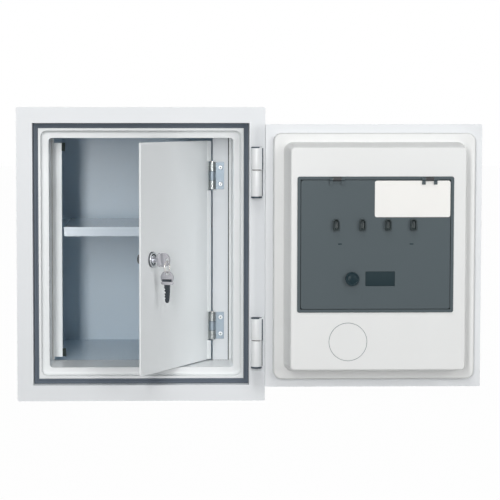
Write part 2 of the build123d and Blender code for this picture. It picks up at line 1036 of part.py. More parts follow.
# Spindle: from the lever through the door to the pinion
with BuildPart() as spindle:
    disc(
        spindle_radius,
        door_front - rose_height - slack - stub_length,
        carriage_far + 3,
        handle_x,
        handle_z,
    )
    chamfer(spindle.faces().sort_by(Axis.Y)[-1].edges(), 0.8)
save_on_main_door(spindle.part, "spindle")

# Lever: a hub and a blade that swells and thins towards its end, hanging down when unlocked
lever_near = door_front - rose_height - slack
with BuildPart() as lever:
    disc(lever_hub, lever_near - lever_standoff, lever_near, handle_x, handle_z)
    fillet(lever.faces().sort_by(Axis.Y)[0].edges(), 4)
    for drop, width, thickness in (
        lever_root,
        (lever_length / 2, *lever_waist),
        (lever_length, *lever_end),
    ):
        with BuildSketch(Plane.XY.offset(handle_z - drop)):
            with Locations((handle_x, front_y + lever_near - lever_standoff + lever_inset)):
                RectangleRounded(width, thickness, thickness / 2 - 0.5)
    loft()
    fillet(lever.faces().sort_by(Axis.Z)[0].edges(), 2)
    disc(spindle_radius, lever_near - stub_length, lever_near, handle_x, handle_z, Mode.SUBTRACT)
save_on_main_door(lever.part, "lever")

# Keypad housing: domed moulded box on the door's front
with BuildPart() as keypad_housing:
    prism(
        keypad_width,
        keypad_length,
        door_front - keypad_height,
        door_front,
        corner=12,
        x=keypad_x,
        z=keypad_z,
    )
    fillet(keypad_housing.faces().sort_by(Axis.Y)[0].edges(), 5)
    prism(
        keypad_width - keypad_frame[0],
        keypad_length - keypad_frame[1],
        door_front - keypad_height,
        door_front - keypad_height + keypad_sink,
        corner=4,
        x=keypad_x,
        z=keypad_z - 5,
        mode=Mode.SUBTRACT,
    )
save_on_main_door(keypad_housing.part, "keypad_housing")

# Keypad membrane: one rubber sheet with twelve shallow domes that switch by touch
with BuildPart() as keypad_membrane:
    prism(
        keypad_width - keypad_frame[0] - 2 * seat,
        keypad_length - keypad_frame[1] - 2 * seat,
        door_front - keypad_height + keypad_sink / 3,
        door_front - keypad_height + keypad_sink,
        corner=4,
        x=keypad_x,
        z=keypad_z - 5,
    )
    with BuildSketch(inward(door_front - keypad_height - 0.6)) as domes:
        with Locations((-keypad_x, keypad_z - 5)):
            with GridLocations(*key_pitch, 3, 4):
                RectangleRounded(key_size, key_size, 4)
    extrude(domes.sketch, amount=1)
save_on_main_door(keypad_membrane.part, "keypad_membrane")

# Lock case: the closed housing of the electric lock, on the tray's floor
with BuildPart() as lock_case:
    prism(
        lock_case_size[0],
        lock_case_size[1],
        tray_floor,
        tray_floor + lock_case_size[2],
        corner=3,
        x=arm_end + lock_case_gap,
        z=rack_line + 4,
    )
    fillet(lock_case.faces().sort_by(Axis.Y)[-1].edges(), 1.5)
    with BuildSketch(inward(tray_floor + lock_case_size[2])) as case_ears:
        with Locations((-(arm_end + lock_case_gap), rack_line + 4)):
            with GridLocations(*ear_pitch, 2, 2):
                Circle(ear_radius)
    extrude(case_ears.sketch, amount=1.5)
save_on_main_door(lock_case.part, "lock_case")

# Battery holder: an open box for four cells side by side
cell_pitch = 2 * cell_radius + cell_gap
holder_width = 4 * cell_pitch + 2 * holder_wall
holder_length = cell_length + 2 * holder_spring
holder_x = tray_x + mouth_width / 2 - holder_width / 2 - holder_margin[0]
holder_z = tray_z + mouth_length / 2 - holder_length / 2 - holder_margin[1]
with BuildPart() as battery_holder:
    prism(
        holder_width,
        holder_length,
        tray_floor,
        tray_floor + holder_height,
        corner=2,
        x=holder_x,
        z=holder_z,
    )
    prism(
        holder_width - 2 * holder_wall,
        holder_length - holder_spring,
        tray_floor + holder_wall,
        tray_floor + holder_height,
        x=holder_x,
        z=holder_z,
        mode=Mode.SUBTRACT,
    )
save_on_main_door(battery_holder.part, "battery_holder")

# Cells: four round cells with their button ends
with BuildPart() as cells:
    for index in range(4):
        cell_x = holder_x + (index - 1.5) * cell_pitch
        cell_depth = tray_floor + holder_wall + cell_radius + slack
        post(cell_radius, holder_z - cell_length / 2, holder_z + cell_length / 2, cell_x, cell_depth)
        post(
            cell_button,
            holder_z + cell_length / 2,
            holder_z + cell_length / 2 + cell_button_height,
            cell_x,
            cell_depth,
        )
save_on_main_door(cells.part, "cells")

# Lid clips: the fixed middle knuckles of the cover's two hinges, on the tray's rim
rim_head = tray_z + tray_length / 2
with BuildPart() as lid_clips:
    for clip_x in lid_clips_x:
        left = clip_x - lid_clip_core / 2
        right = clip_x + lid_clip_core / 2
        bar(lid_knuckle_radius, left, right, lid_axis_depth, lid_axis_z)
        block(left, right, tray_face, lid_axis_depth, lid_axis_z, rim_head)
        bar(lid_pin_radius, left, right, lid_axis_depth, lid_axis_z, Mode.SUBTRACT)
save_on_main_door(lid_clips.part, "lid_clips")

# Lid pins: short steel rods through each clip and its two ears
with BuildPart() as lid_pins:
    for clip_x in lid_clips_x:
        bar(
            lid_pin_radius,
            clip_x - lid_clip_width / 2,
            clip_x + lid_clip_width / 2,
            lid_axis_depth,
            lid_axis_z,
        )
save_on_main_door(lid_pins.part, "lid_pins")

# Lid keeper: a bent strip that the catch turns under
keeper_x = catch_x + catch_arm + 4
with BuildPart() as lid_keeper:
    with BuildSketch(Plane.XY.offset(catch_z - keeper_height / 2)):
        with BuildLine():
            foot = front_y + tray_floor
            tab = front_y + tray_face - 5.2
            Polyline(
                (keeper_x, foot),
                (keeper_x, tab - keeper_sheet),
                (keeper_x - 10, tab - keeper_sheet),
                (keeper_x - 10, tab),
                (keeper_x + keeper_sheet, tab),
                (keeper_x + keeper_sheet, foot + keeper_sheet),
                (keeper_x + keeper_foot, foot + keeper_sheet),
                (keeper_x + keeper_foot, foot),
                close=True,
            )
        make_face()
    extrude(amount=keeper_height)
save_on_main_door(lid_keeper.part, "lid_keeper")

# Cover lid: dark panel with a skirt behind it, hinge ears at its head and a shallow recess
ear_width = (lid_clip_width - lid_clip_core) / 2 - slack
with BuildPart() as cover_lid:
    lid_back = tray_face - lid_sheet
    prism(lid_width, lid_length, lid_back, tray_face, corner=lid_corner, x=tray_x, z=tray_z)
    skirt_out = 2 * lid_skirt_inset
    skirt_in = 2 * (lid_skirt_inset + lid_skirt_wall)
    prism(
        lid_width - skirt_out,
        lid_length - skirt_out,
        lid_back - lid_skirt,
        lid_back,
        x=tray_x,
        z=tray_z,
    )
    prism(
        lid_width - skirt_in,
        lid_length - skirt_in,
        lid_back - lid_skirt,
        lid_back,
        x=tray_x,
        z=tray_z,
        mode=Mode.SUBTRACT,
    )
    for clip_x in lid_clips_x:
        for sense in (-1, 1):
            inner = clip_x + sense * (lid_clip_core / 2 + slack)
            outer = clip_x + sense * lid_clip_width / 2
            left = min(inner, outer)
            right = max(inner, outer)
            bar(lid_knuckle_radius, left, right, lid_axis_depth, lid_axis_z)
            block(left, right, lid_back, lid_axis_depth, lid_head - lid_ear_drop, lid_head)
            block(left, right, tray_face + slack, lid_axis_depth, lid_head - lid_ear_drop, lid_axis_z)
            bar(
                lid_pin_radius + running,
                left,
                right,
                lid_axis_depth,
                lid_axis_z,
                mode=Mode.SUBTRACT,
            )
    prism(
        recess_width,
        recess_length,
        tray_face - recess_sink,
        tray_face + 1,
        corner=1,
        x=recess_x,
        z=recess_z,
        mode=Mode.SUBTRACT,
    )
    disc(
        catch_stem + running,
        lid_back - 1,
        tray_face + 1,
        catch_x,
        catch_z,
        Mode.SUBTRACT,
    )
save_on_main_door(cover_lid.part, "cover_lid")

# Key hooks: arched pegs with a turned-up tip
with BuildPart() as key_hooks:
    for hook_x in hooks_x:
        with BuildSketch(Plane.YZ.offset(hook_x - hook_width / 2)) as hook_side:
            with BuildLine():
                root = front_y + tray_face
                low = hook_z - hook_length / 2
                high = hook_z + hook_length / 2
                Polyline(
                    (root, low + 4),
                    (root, high),
                    (root + 1.6, high),
                    (root + 2.2, low + 7),
                    (root + hook_reach - 2, low + 5.5),
                    (root + hook_reach - 2, low + 9),
                    (root + hook_reach, low + 9),
                    (root + hook_reach, low + 2),
                    (root + 2, low),
                    close=True,
                )
            make_face()
        extrude(hook_side.sketch, amount=hook_width)
save_on_main_door(key_hooks.part, "key_hooks")

# Catch knob: round thumb knob with its stem through the lid
with BuildPart() as catch_knob:
    disc(catch_radius, tray_face + slack, tray_face + catch_height, catch_x, catch_z)
    fillet(catch_knob.faces().sort_by(Axis.Y)[-1].edges(), 2.5)
    disc(catch_stem, tray_face - 10, tray_face + slack, catch_x, catch_z)
save_on_main_door(catch_knob.part, "catch_knob")

# Catch arm: steel tongue on the stem, pointing down when the lid is free
arm_near = tray_face - 9.4
with BuildPart() as catch_arm_plate:
    with BuildSketch(inward(arm_near)) as arm_outline:
        with Locations((-catch_x, catch_z)):
            Circle(catch_stem + 3)
        with Locations((-catch_x, catch_z - catch_arm / 2)):
            Rectangle(8, catch_arm)
        with Locations((-catch_x, catch_z)):
            Circle(catch_stem, mode=Mode.SUBTRACT)
    extrude(arm_outline.sketch, amount=1.6)
save_on_main_door(catch_arm_plate.part, "catch_arm")

# Locker door: thin sheet hemmed all round, with rounded free corners and a deep hinge flange
panel_width = panel_right - panel_left
panel_height = panel_high - panel_low
panel_x = (panel_left + panel_right) / 2
panel_z = (panel_low + panel_high) / 2
with BuildPart() as locker_door:
    prism(
        panel_width,
        panel_height,
        locker_front,
        locker_front + panel_hem,
        x=panel_x,
        z=panel_z,
    )
    free_edges = locker_door.edges().filter_by(Axis.Y).group_by(Axis.X)[0]
    fillet(free_edges, panel_corner)
    fillet(locker_door.faces().sort_by(Axis.Y)[0].edges(), 0.8)
    block(
        panel_right - panel_sheet,
        panel_right,
        locker_front + panel_sheet,
        locker_front + panel_flange,
        panel_low + panel_corner,
        panel_high - panel_corner,
    )
    prism(
        panel_width - 2 * hem_width,
        panel_height - 2 * hem_width,
        locker_front + panel_sheet,
        locker_front + panel_hem,
        x=panel_x,
        z=panel_z,
        mode=Mode.SUBTRACT,
    )
    disc(
        barrel_lock_radius + seat,
        locker_front,
        locker_front + panel_sheet,
        lock_x,
        lock_z,
        Mode.SUBTRACT,
    )
save_on_locker_door(locker_door.part, "locker_door")

# Butt hinges: three knuckles each, the outer two on the door and the middle one on the post
third = butt_length / 3
knuckle_front = axis_depth
with BuildPart() as door_leaves:
    for middle in butts_z:
        for offset in (-third, third):
            low = middle + offset - third / 2 + running
            post(knuckle_radius, low, low + third - 2 * running, locker_axis_x, knuckle_front)
        block(
            panel_right,
            panel_right + butt_leaf,
            knuckle_front,
            locker_front + panel_flange - 1,
            middle - butt_length / 2 + running,
            middle + butt_length / 2 - running,
        )
        post(
            knuckle_radius + slack,
            middle - third / 2 - running,
            middle + third / 2 + running,
            locker_axis_x,
            knuckle_front,
            mode=Mode.SUBTRACT,
        )
        post(
            1.5 + running,
            middle - butt_length / 2,
            middle + butt_length / 2,
            locker_axis_x,
            knuckle_front,
            mode=Mode.SUBTRACT,
        )
save_on_locker_door(door_leaves.part, "door_leaves")

with BuildPart() as post_leaves:
    for middle in butts_z:
        post(
            knuckle_radius,
            middle - third / 2,
            middle + third / 2,
            locker_axis_x,
            knuckle_front,
        )
        block(
            locker_axis_x + knuckle_radius + 0.8,
            locker_axis_x + butt_reach,
            locker_front - butt_leaf,
            locker_front,
            middle - butt_length / 2,
            middle + butt_length / 2,
        )
        block(
            locker_axis_x,
            locker_axis_x + knuckle_radius + 1,
            locker_front - butt_leaf - 1,
            locker_front - 0.6,
            middle - third / 2,
            middle + third / 2,
        )
        post(
            1.5,
            middle - butt_length / 2,
            middle + butt_length / 2,
            locker_axis_x,
            knuckle_front,
            mode=Mode.SUBTRACT,
        )
save(post_leaves.part, "post_leaves")

# Butt pins: one through each hinge, with a button at its head
with BuildPart() as butt_pins:
    for middle in butts_z:
        post(
            1.5,
            middle - butt_length / 2,
            middle + butt_length / 2 + 0.5,
            locker_axis_x,
            knuckle_front,
        )
        post(
            2.6,
            middle + butt_length / 2 + running,
            middle + butt_length / 2 + 1.6,
            locker_axis_x,
            knuckle_front,
        )
save(butt_pins.part, "butt_pins")

# Post screws: two pan-head screws in each leaf on the post
screw_x = locker_axis_x + butt_reach - 5.2
with BuildPart() as post_screws:
    for middle in butts_z:
        for offset in (-butt_screw_pitch / 2, butt_screw_pitch / 2):
            disc(
                3.2,
                locker_front - butt_leaf - 1.4,
                locker_front - butt_leaf,
                screw_x,
                middle + offset,
            )
    heads = post_screws.edges().group_by(Axis.Y)[0]
    fillet(heads, 0.9)
save(post_screws.part, "post_screws")

# Lock barrel: flanged and round, through the door's face
barrel_front = locker_front - bezel_height
with BuildPart() as lock_barrel:
    disc(bezel_radius, barrel_front, locker_front, lock_x, lock_z)
    fillet(lock_barrel.faces().sort_by(Axis.Y)[0].edges(), 1.5)
    disc(barrel_lock_radius, locker_front, lock_back, lock_x, lock_z)
    disc(plug_core_radius + running, barrel_front, lock_back, lock_x, lock_z, Mode.SUBTRACT)
save_on_locker_door(lock_barrel.part, "lock_barrel")

# Lock nut: hexagon nut that clamps the barrel from behind
with BuildPart() as lock_nut:
    with BuildSketch(inward(locker_front + panel_sheet)) as nut_outline:
        with Locations((-lock_x, lock_z)):
            RegularPolygon(barrel_lock_radius + 5, 6)
            Circle(barrel_lock_radius, mode=Mode.SUBTRACT)
    extrude(nut_outline.sketch, amount=4)
save_on_locker_door(lock_nut.part, "lock_nut")

# Lock plug: the turning core with its keyway
with BuildPart() as lock_plug:
    disc(plug_core_radius, barrel_front + 0.3, lock_back + seat, lock_x, lock_z)
    block(
        lock_x - key_thickness / 2 - 0.15,
        lock_x + key_thickness / 2 + 0.15,
        barrel_front,
        lock_back - 1,
        lock_z - key_blade / 2 - 0.2,
        lock_z + key_blade / 2 + 0.2,
        Mode.SUBTRACT,
    )
save_on_locker_door(lock_plug.part, "lock_plug")

# Lock cam: a narrow tongue along the hinge side of its hub, which turns behind the latch post
cam_near = lock_back + seat
with BuildPart() as lock_cam:
    with BuildSketch(inward(cam_near)) as cam_outline:
        with Locations((-lock_x, lock_z)):
            Circle(cam_width / 2)
        with Locations((-lock_x - (cam_width - cam_tongue) / 2, lock_z - cam_length / 2)):
            Rectangle(cam_tongue, cam_length)
    extrude(cam_outline.sketch, amount=2)
    fillet(lock_cam.edges().filter_by(Axis.Y).group_by(Axis.Z)[0], 3)
save_on_locker_door(lock_cam.part, "lock_cam")

# Cam screw
with BuildPart() as cam_screw:
    disc(4, cam_near + 2, cam_near + 4, lock_x, lock_z)
    fillet(cam_screw.faces().sort_by(Axis.Y)[-1].edges(), 0.8)
save_on_locker_door(cam_screw.part, "cam_screw")

key_axis_depth = locker_front - key_bow_reach + key_bow_radius
hole_depth = locker_front - key_bow_reach + key_hole_rim + key_hole_radius


def key_flat(blade_from_bow):
    """Flat outline of a key with the bow at the origin and the blade along local x."""
    bow_edge = key_bow_radius - 1
    with BuildLine() as blade_edge:
        half = key_blade / 2
        tip = blade_from_bow
        Polyline(
            (bow_edge, -half),
            (bow_edge, half),
            (tip - 3, half),
            (tip, half - 3),
            (tip - 1.5, -half + 1.5),
            (tip - 4, -half),
            (tip - 6, -half + 1.8),
            (tip - 8.5, -half),
            (tip - 11, -half + 2.4),
            (tip - 13.5, -half),
            close=True,
        )
    make_face(blade_edge.edges())
    Circle(key_bow_radius)


# Inserted key: bow upright, its ring hole at the outer end
with BuildPart() as lock_key:
    with BuildSketch(
        Plane(
            origin=(lock_x - key_thickness / 2, front_y + key_axis_depth, lock_z),
            x_dir=(0, 1, 0),
            z_dir=(1, 0, 0),
        )
    ) as key_side:
        key_flat(lock_back - 2.5 - key_axis_depth)
        with Locations((hole_depth - key_axis_depth, 0)):
            Circle(key_hole_radius, mode=Mode.SUBTRACT)
    extrude(key_side.sketch, amount=key_thickness)
save_on_locker_door(lock_key.part, "lock_key")

# Key ring: split wire ring through both bows
ring_top = lock_z - key_hole_radius + ring_wire + 0.15
ring_z = ring_top - ring_radius
with BuildPart() as key_ring:
    with BuildSketch(Plane.YZ.offset(lock_x)) as wire:
        with Locations((front_y + hole_depth, ring_z + ring_radius)):
            Circle(ring_wire)
    revolve(
        wire.sketch,
        axis=Axis((lock_x, front_y + hole_depth, ring_z), (0, 1, 0)),
        revolution_arc=360,
    )
save_on_locker_door(key_ring.part, "key_ring")

# Spare key: hangs from the ring, blade down
spare_hole_z = ring_z - ring_radius - (key_hole_radius - ring_wire - 0.15)
spare_bow_z = spare_hole_z + key_hole_radius + key_hole_rim - key_bow_radius
with BuildPart() as spare_key:
    with BuildSketch(
        Plane(
            origin=(lock_x - key_thickness / 2, front_y + hole_depth, spare_bow_z),
            x_dir=(0, 0, -1),
            z_dir=(1, 0, 0),
        )
    ) as spare_side:
        key_flat(key_bow_radius + key_blade_length)
        with Locations((spare_bow_z - spare_hole_z, 0)):
            Circle(key_hole_radius, mode=Mode.SUBTRACT)
    extrude(spare_side.sketch, amount=key_thickness)
save_on_locker_door(spare_key.part, "spare_key")
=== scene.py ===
import bmesh
import bpy
import json
import math
from mathutils import Matrix, Vector


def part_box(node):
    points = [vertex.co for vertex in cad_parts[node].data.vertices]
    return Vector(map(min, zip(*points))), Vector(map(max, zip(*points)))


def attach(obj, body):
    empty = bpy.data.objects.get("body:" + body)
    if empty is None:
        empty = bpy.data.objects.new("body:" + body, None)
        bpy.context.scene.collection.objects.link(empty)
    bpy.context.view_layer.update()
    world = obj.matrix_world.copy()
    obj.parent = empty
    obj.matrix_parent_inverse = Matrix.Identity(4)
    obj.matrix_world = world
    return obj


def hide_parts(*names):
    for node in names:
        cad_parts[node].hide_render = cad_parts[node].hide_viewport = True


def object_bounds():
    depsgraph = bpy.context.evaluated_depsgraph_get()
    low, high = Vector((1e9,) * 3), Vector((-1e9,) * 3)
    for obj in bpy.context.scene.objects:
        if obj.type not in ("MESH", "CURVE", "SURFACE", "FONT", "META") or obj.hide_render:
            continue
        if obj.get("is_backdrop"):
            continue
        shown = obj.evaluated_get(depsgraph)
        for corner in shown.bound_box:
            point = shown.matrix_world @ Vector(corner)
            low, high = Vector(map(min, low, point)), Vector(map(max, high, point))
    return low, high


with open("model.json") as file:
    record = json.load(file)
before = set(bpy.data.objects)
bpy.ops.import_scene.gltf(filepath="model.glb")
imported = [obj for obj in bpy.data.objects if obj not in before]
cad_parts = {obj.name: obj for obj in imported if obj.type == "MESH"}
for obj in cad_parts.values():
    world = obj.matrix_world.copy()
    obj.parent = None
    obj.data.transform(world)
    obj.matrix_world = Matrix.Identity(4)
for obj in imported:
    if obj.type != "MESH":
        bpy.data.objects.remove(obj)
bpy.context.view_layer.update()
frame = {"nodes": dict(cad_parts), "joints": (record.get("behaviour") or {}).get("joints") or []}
nodes = frame["nodes"]


# Outer shell, rear panel, door skin and hinge barrels: sheet steel, folded and welded, then sprayed
# with pale grey powder paint and baked. The paint keeps the fine orange peel of the powder, and its
# tone drifts very slightly over each face.
def finish(name, colour, roughness=0.45, metallic=0.0, peel=420.0, depth=0.00006, drift=0.03,
           rub=0.06, brush=None, shine=0.5):
    """Paint, plastic or metal with drifting tone, uneven gloss and a fine relief.

    peel is how fine the grain is, depth its relief in metres, drift and rub how far the tone and the
    gloss wander, brush the grain's scale along each axis, and shine the specular level.
    """
    material = bpy.data.materials.new(name)
    material.use_nodes = True
    tree = material.node_tree
    shader = tree.nodes["Principled BSDF"]
    shader.inputs["Metallic"].default_value = metallic
    shader.inputs["Specular IOR Level"].default_value = shine
    place = tree.nodes.new("ShaderNodeTexCoord")
    grain_place = place.outputs["Object"]
    if brush:
        stretch = tree.nodes.new("ShaderNodeMapping")
        stretch.inputs["Scale"].default_value = brush
        tree.links.new(place.outputs["Object"], stretch.inputs["Vector"])
        grain_place = stretch.outputs["Vector"]
    cloud = tree.nodes.new("ShaderNodeTexNoise")
    cloud.inputs["Scale"].default_value = 7.0
    cloud.inputs["Detail"].default_value = 4.0
    tree.links.new(place.outputs["Object"], cloud.inputs["Vector"])
    tone = tree.nodes.new("ShaderNodeMix")
    tone.data_type = "RGBA"
    tone.inputs["A"].default_value = tuple(max(0.0, c * (1 - drift)) for c in colour) + (1.0,)
    tone.inputs["B"].default_value = tuple(min(1.0, c * (1 + drift)) for c in colour) + (1.0,)
    tree.links.new(cloud.outputs["Fac"], tone.inputs["Factor"])
    tree.links.new(tone.outputs["Result"], shader.inputs["Base Color"])
    grain = tree.nodes.new("ShaderNodeTexNoise")
    grain.inputs["Scale"].default_value = peel
    grain.inputs["Detail"].default_value = 3.0
    tree.links.new(grain_place, grain.inputs["Vector"])
    gloss = tree.nodes.new("ShaderNodeMapRange")
    gloss.inputs["To Min"].default_value = max(0.03, roughness - rub)
    gloss.inputs["To Max"].default_value = min(1.0, roughness + rub)
    tree.links.new(grain.outputs["Fac"], gloss.inputs["Value"])
    tree.links.new(gloss.outputs["Result"], shader.inputs["Roughness"])
    relief = tree.nodes.new("ShaderNodeBump")
    relief.inputs["Strength"].default_value = 0.5
    relief.inputs["Distance"].default_value = depth
    tree.links.new(grain.outputs["Fac"], relief.inputs["Height"])
    tree.links.new(relief.outputs["Normal"], shader.inputs["Normal"])
    return material


def coat(material, *names):
    """Give CAD nodes this finish in every one of their slots."""
    for name in names:
        mesh = nodes[name].data
        if not mesh.materials:
            mesh.materials.append(material)
        for index in range(len(mesh.materials)):
            mesh.materials[index] = material


cabinet_paint = finish("cabinet_paint", (0.83, 0.85, 0.868), roughness=0.42, depth=0.00005)
coat(cabinet_paint, "outer_shell", "rear_panel", "cabinet_barrels", "door_barrels", "door_skin",
     "rim_strip")

# Linings of the door and of the throat: white mouldings, glossy where their tool was polished, set
# over the fill. The throat's is a shade greyer. The filler plug is moulded like the door's lining.
liner_moulding = finish("liner_moulding", (0.868, 0.876, 0.868), roughness=0.34, peel=260.0,
                        depth=0.00002)
coat(liner_moulding, "door_lining", "filler_plug")
throat_white = finish("throat_white", (0.815, 0.835, 0.84), roughness=0.34, peel=260.0, depth=0.00002)
coat(throat_white, "throat_liner")

# Fire fill: a mineral mix, cast between the shell and the linings of the cabinet and of the door.
# It is rough and sandy, and shows only through the clearances.
cast_fill = finish("cast_fill", (0.55, 0.53, 0.50), roughness=0.9, peel=300.0, depth=0.0004, drift=0.1)
coat(cast_fill, "fire_fill", "door_fill")

# Door seal: swelling graphite strip, a soft slate blue with a shallow groove in its outer band.
# It is one flat profile laid round the ledge, mitred at the corners and bonded down.
facing_front = (math.radians(90), 0, 0)


def begin(name, kind, **sizes):
    """Add a primitive with nothing else selected, and name it."""
    bpy.ops.object.select_all(action="DESELECT")
    getattr(bpy.ops.mesh, "primitive_" + kind + "_add")(**sizes)
    piece = bpy.context.object
    piece.name = name
    return piece


def settle(piece):
    """Put the piece's place, turn and size into its mesh."""
    bpy.ops.object.mode_set(mode="OBJECT")
    bpy.ops.object.select_all(action="DESELECT")
    piece.select_set(True)
    bpy.context.view_layer.objects.active = piece
    bpy.ops.object.transform_apply(location=True, rotation=True, scale=True)
    return piece


def begin_frame(name, width, height, centre):
    """Start a flat frame as a sheet that faces the front, in edit mode with all of it selected."""
    sheet = begin(name, "plane", size=1, location=centre, rotation=facing_front)
    sheet.scale = (width, height, 1)
    settle(sheet)
    bpy.ops.object.mode_set(mode="EDIT")
    bpy.ops.mesh.select_all(action="SELECT")
    return sheet


def close_frame(thickness):
    """Drop the frame's middle face, which is selected, and give the rest its thickness."""
    bpy.ops.mesh.delete(type="FACE")
    bpy.ops.mesh.select_all(action="SELECT")
    bpy.ops.mesh.extrude_region_shrink_fatten(TRANSFORM_OT_shrink_fatten={"value": -thickness})
    bpy.ops.mesh.select_all(action="SELECT")
    bpy.ops.mesh.normals_make_consistent(inside=False)
    bpy.ops.object.mode_set(mode="OBJECT")


def dress(piece, material, body):
    """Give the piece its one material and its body."""
    piece.data.materials.clear()
    piece.data.materials.append(material)
    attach(piece, body)


seal_slate = finish("seal_slate", (0.085, 0.108, 0.138), roughness=0.6, peel=900.0, depth=0.00008,
                    drift=0.12)
seal_sheet = 0.0004
# Steps of the profile from its outer edge inwards: how wide each is, and how far it rises.
seal_steps = ((0.0007, 0.0), (0.0002, 0.0010), (0.0030, 0.0), (0.0004, -0.0004), (0.0004, 0.0004),
              (0.0022, 0.0), (0.0003, -0.0008))
low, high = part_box("door_seal")
middle = (low + high) / 2
seal = begin_frame("seal_strip", high.x - low.x, high.z - low.z, (middle.x, high.y - seal_sheet, middle.z))
for width, rise in seal_steps:
    bpy.ops.mesh.inset(thickness=width, depth=rise)
close_frame(seal_sheet)
dress(seal, seal_slate, "cabinet")
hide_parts("door_seal")

# Locker: folded sheet steel with a bluish grey powder paint, coarser than the outside. The shelf is
# painted smoother. The two posts and the door's sheet take paler copies of the same paint, painted light.
locker_paint = finish("locker_paint", (0.67, 0.79, 0.88), roughness=0.30, peel=330.0, depth=0.00012)
coat(locker_paint, "locker_shell", "shelf_rails")
shelf_paint = finish("shelf_paint", (0.70, 0.80, 0.89), roughness=0.16, peel=330.0, depth=0.00001)
coat(shelf_paint, "shelf")
# Paler copies of the locker paint, painted light on the hinge post, the latch post and the door's sheet.
hinge_post_lit_paint = finish("hinge_post_lit_paint", (0.80, 0.825, 0.85), roughness=0.34)
coat(hinge_post_lit_paint, "hinge_post")
latch_post_lit_paint = finish("latch_post_lit_paint", (0.92, 0.955, 0.965), roughness=0.34)
coat(latch_post_lit_paint, "latch_post")
door_lit_paint = finish("door_lit_paint", (0.94, 0.965, 0.98), roughness=0.34)
coat(door_lit_paint, "locker_door")

# Closing frames between the throat liner and the locker: a thin near-black frame, painted shadow in the
# gap at the liner's end, and over it the liner's own thin lip, wider on the hinge side to cover the gap.
# Near-black that stands for shade: the gap's shadow, the screws' cross slots and the knuckle seams.
painted_shade_black = finish("painted_shade_black", (0.030, 0.034, 0.040), roughness=0.85, peel=900.0, depth=0.00015, shine=0.2)
anchors = {joint["name"]: joint["pos_m"] for joint in frame["joints"] if "pos_m" in joint}
mid_height = anchors["inner_door_hinge"][2]
frame_width = 0.2656
frame_height = 0.3316
frame_edge = 0.0010
frame_sheet = 0.0004
inner_half_width = frame_width / 2 - frame_edge
inner_half_height = frame_height / 2 - frame_edge
# Name, depth, the opening's half width, its shift aside, its half height, its drop, material, slot.
for name, depth_y, half_width, aside, half_height, drop, material, slot in (
    ("gap_shadow", -0.0990, 0.1299, -0.0017, 0.16505, -0.00045, painted_shade_black, "graphite_seal"),
    ("liner_lip", -0.0996, 0.13115, -0.00155, 0.16535, -0.00035, throat_white, "liner_moulding"),
):
    centre = (0, depth_y, mid_height)
    strip = begin_frame(name, frame_width, frame_height, centre)
    bpy.ops.mesh.inset(thickness=frame_edge)
    bpy.ops.transform.resize(value=(half_width / inner_half_width, 1, half_height / inner_half_height),
                             center_override=centre)
    bpy.ops.transform.translate(value=(aside, 0, drop))
    close_frame(frame_sheet)
    dress(strip, material, "cabinet")


# Outer hem of the latch post: the sheet's cut edge, turned flat against the dark frame at the liner's
# end, so that no sharp steel is left in the throat. It is sprayed together with the post.
def block(name, centre, size, rotation=(0, 0, 0)):
    """A block of this size, settled in its place, from which a piece is shaped."""
    piece = begin(name, "cube", size=1, location=centre, rotation=rotation)
    piece.scale = size
    return settle(piece)


def round_off(piece, width, segments=3, angle=35):
    """Bevel every sharp edge and smooth what is left."""
    bpy.ops.object.mode_set(mode="OBJECT")
    bevel = piece.modifiers.new("bevel", "BEVEL")
    bevel.width = width
    bevel.segments = segments
    bevel.limit_method = "ANGLE"
    bevel.angle_limit = math.radians(angle)
    bpy.ops.object.select_all(action="DESELECT")
    piece.select_set(True)
    bpy.context.view_layer.objects.active = piece
    bpy.ops.object.modifier_apply(modifier="bevel")
    bpy.ops.object.shade_smooth_by_angle(angle=math.radians(40))


hem_width = 0.0022
hem_sheet = 0.0005
hem_height = 0.3290
hem_x = -0.1306
hem_y = -0.09905
hem = block("latch_hem", (hem_x, hem_y, mid_height), (hem_width, hem_sheet, hem_height))
round_off(hem, 0.0002, 2)
dress(hem, latch_post_lit_paint, "cabinet")

# Buffers: thin skins of dark rubber, glued on the two stop tabs of the latch post, so that the
# locker's door shuts quietly. Their dark grey-green is also painted shade, matched to the shadow there.
buffer_shade_dark = finish("buffer_shade_dark", (0.035, 0.047, 0.045), roughness=0.8, peel=900.0, shine=0.2)
buffer_width = 0.0052
buffer_skin = 0.0014
buffer_height = 0.0124
buffer_x = -0.11545
buffer_y = -0.09525
for number, foot in enumerate((0.0493, 0.3553)):
    skin = block(f"stop_buffer_{number}", (buffer_x, buffer_y, foot + buffer_height / 2),
                 (buffer_width, buffer_skin, buffer_height))
    round_off(skin, 0.0002, 2)
    dress(skin, buffer_shade_dark, "cabinet")


# Safe edge of the inner door: the sheet is rolled forward along the hinge side, in three lengths
# that leave the butt hinges free. It keeps fingers out of the gap beside the hinge post.
def pick(piece, wanted):
    """In edit mode, select the faces whose centre and normal pass the test."""
    mesh = bmesh.from_edit_mesh(piece.data)
    mesh.select_mode = {"FACE"}
    bpy.context.tool_settings.mesh_select_mode = (False, False, True)
    for part in (*mesh.verts, *mesh.edges, *mesh.faces):
        part.select = False
    for face in mesh.faces:
        if wanted(face.calc_center_median(), face.normal):
            face.select = True
    mesh.select_flush_mode()
    bmesh.update_edit_mesh(piece.data)


def push(move):
    """Extrude what is selected by this much."""
    bpy.ops.mesh.extrude_region_move(TRANSFORM_OT_translate={"value": move})


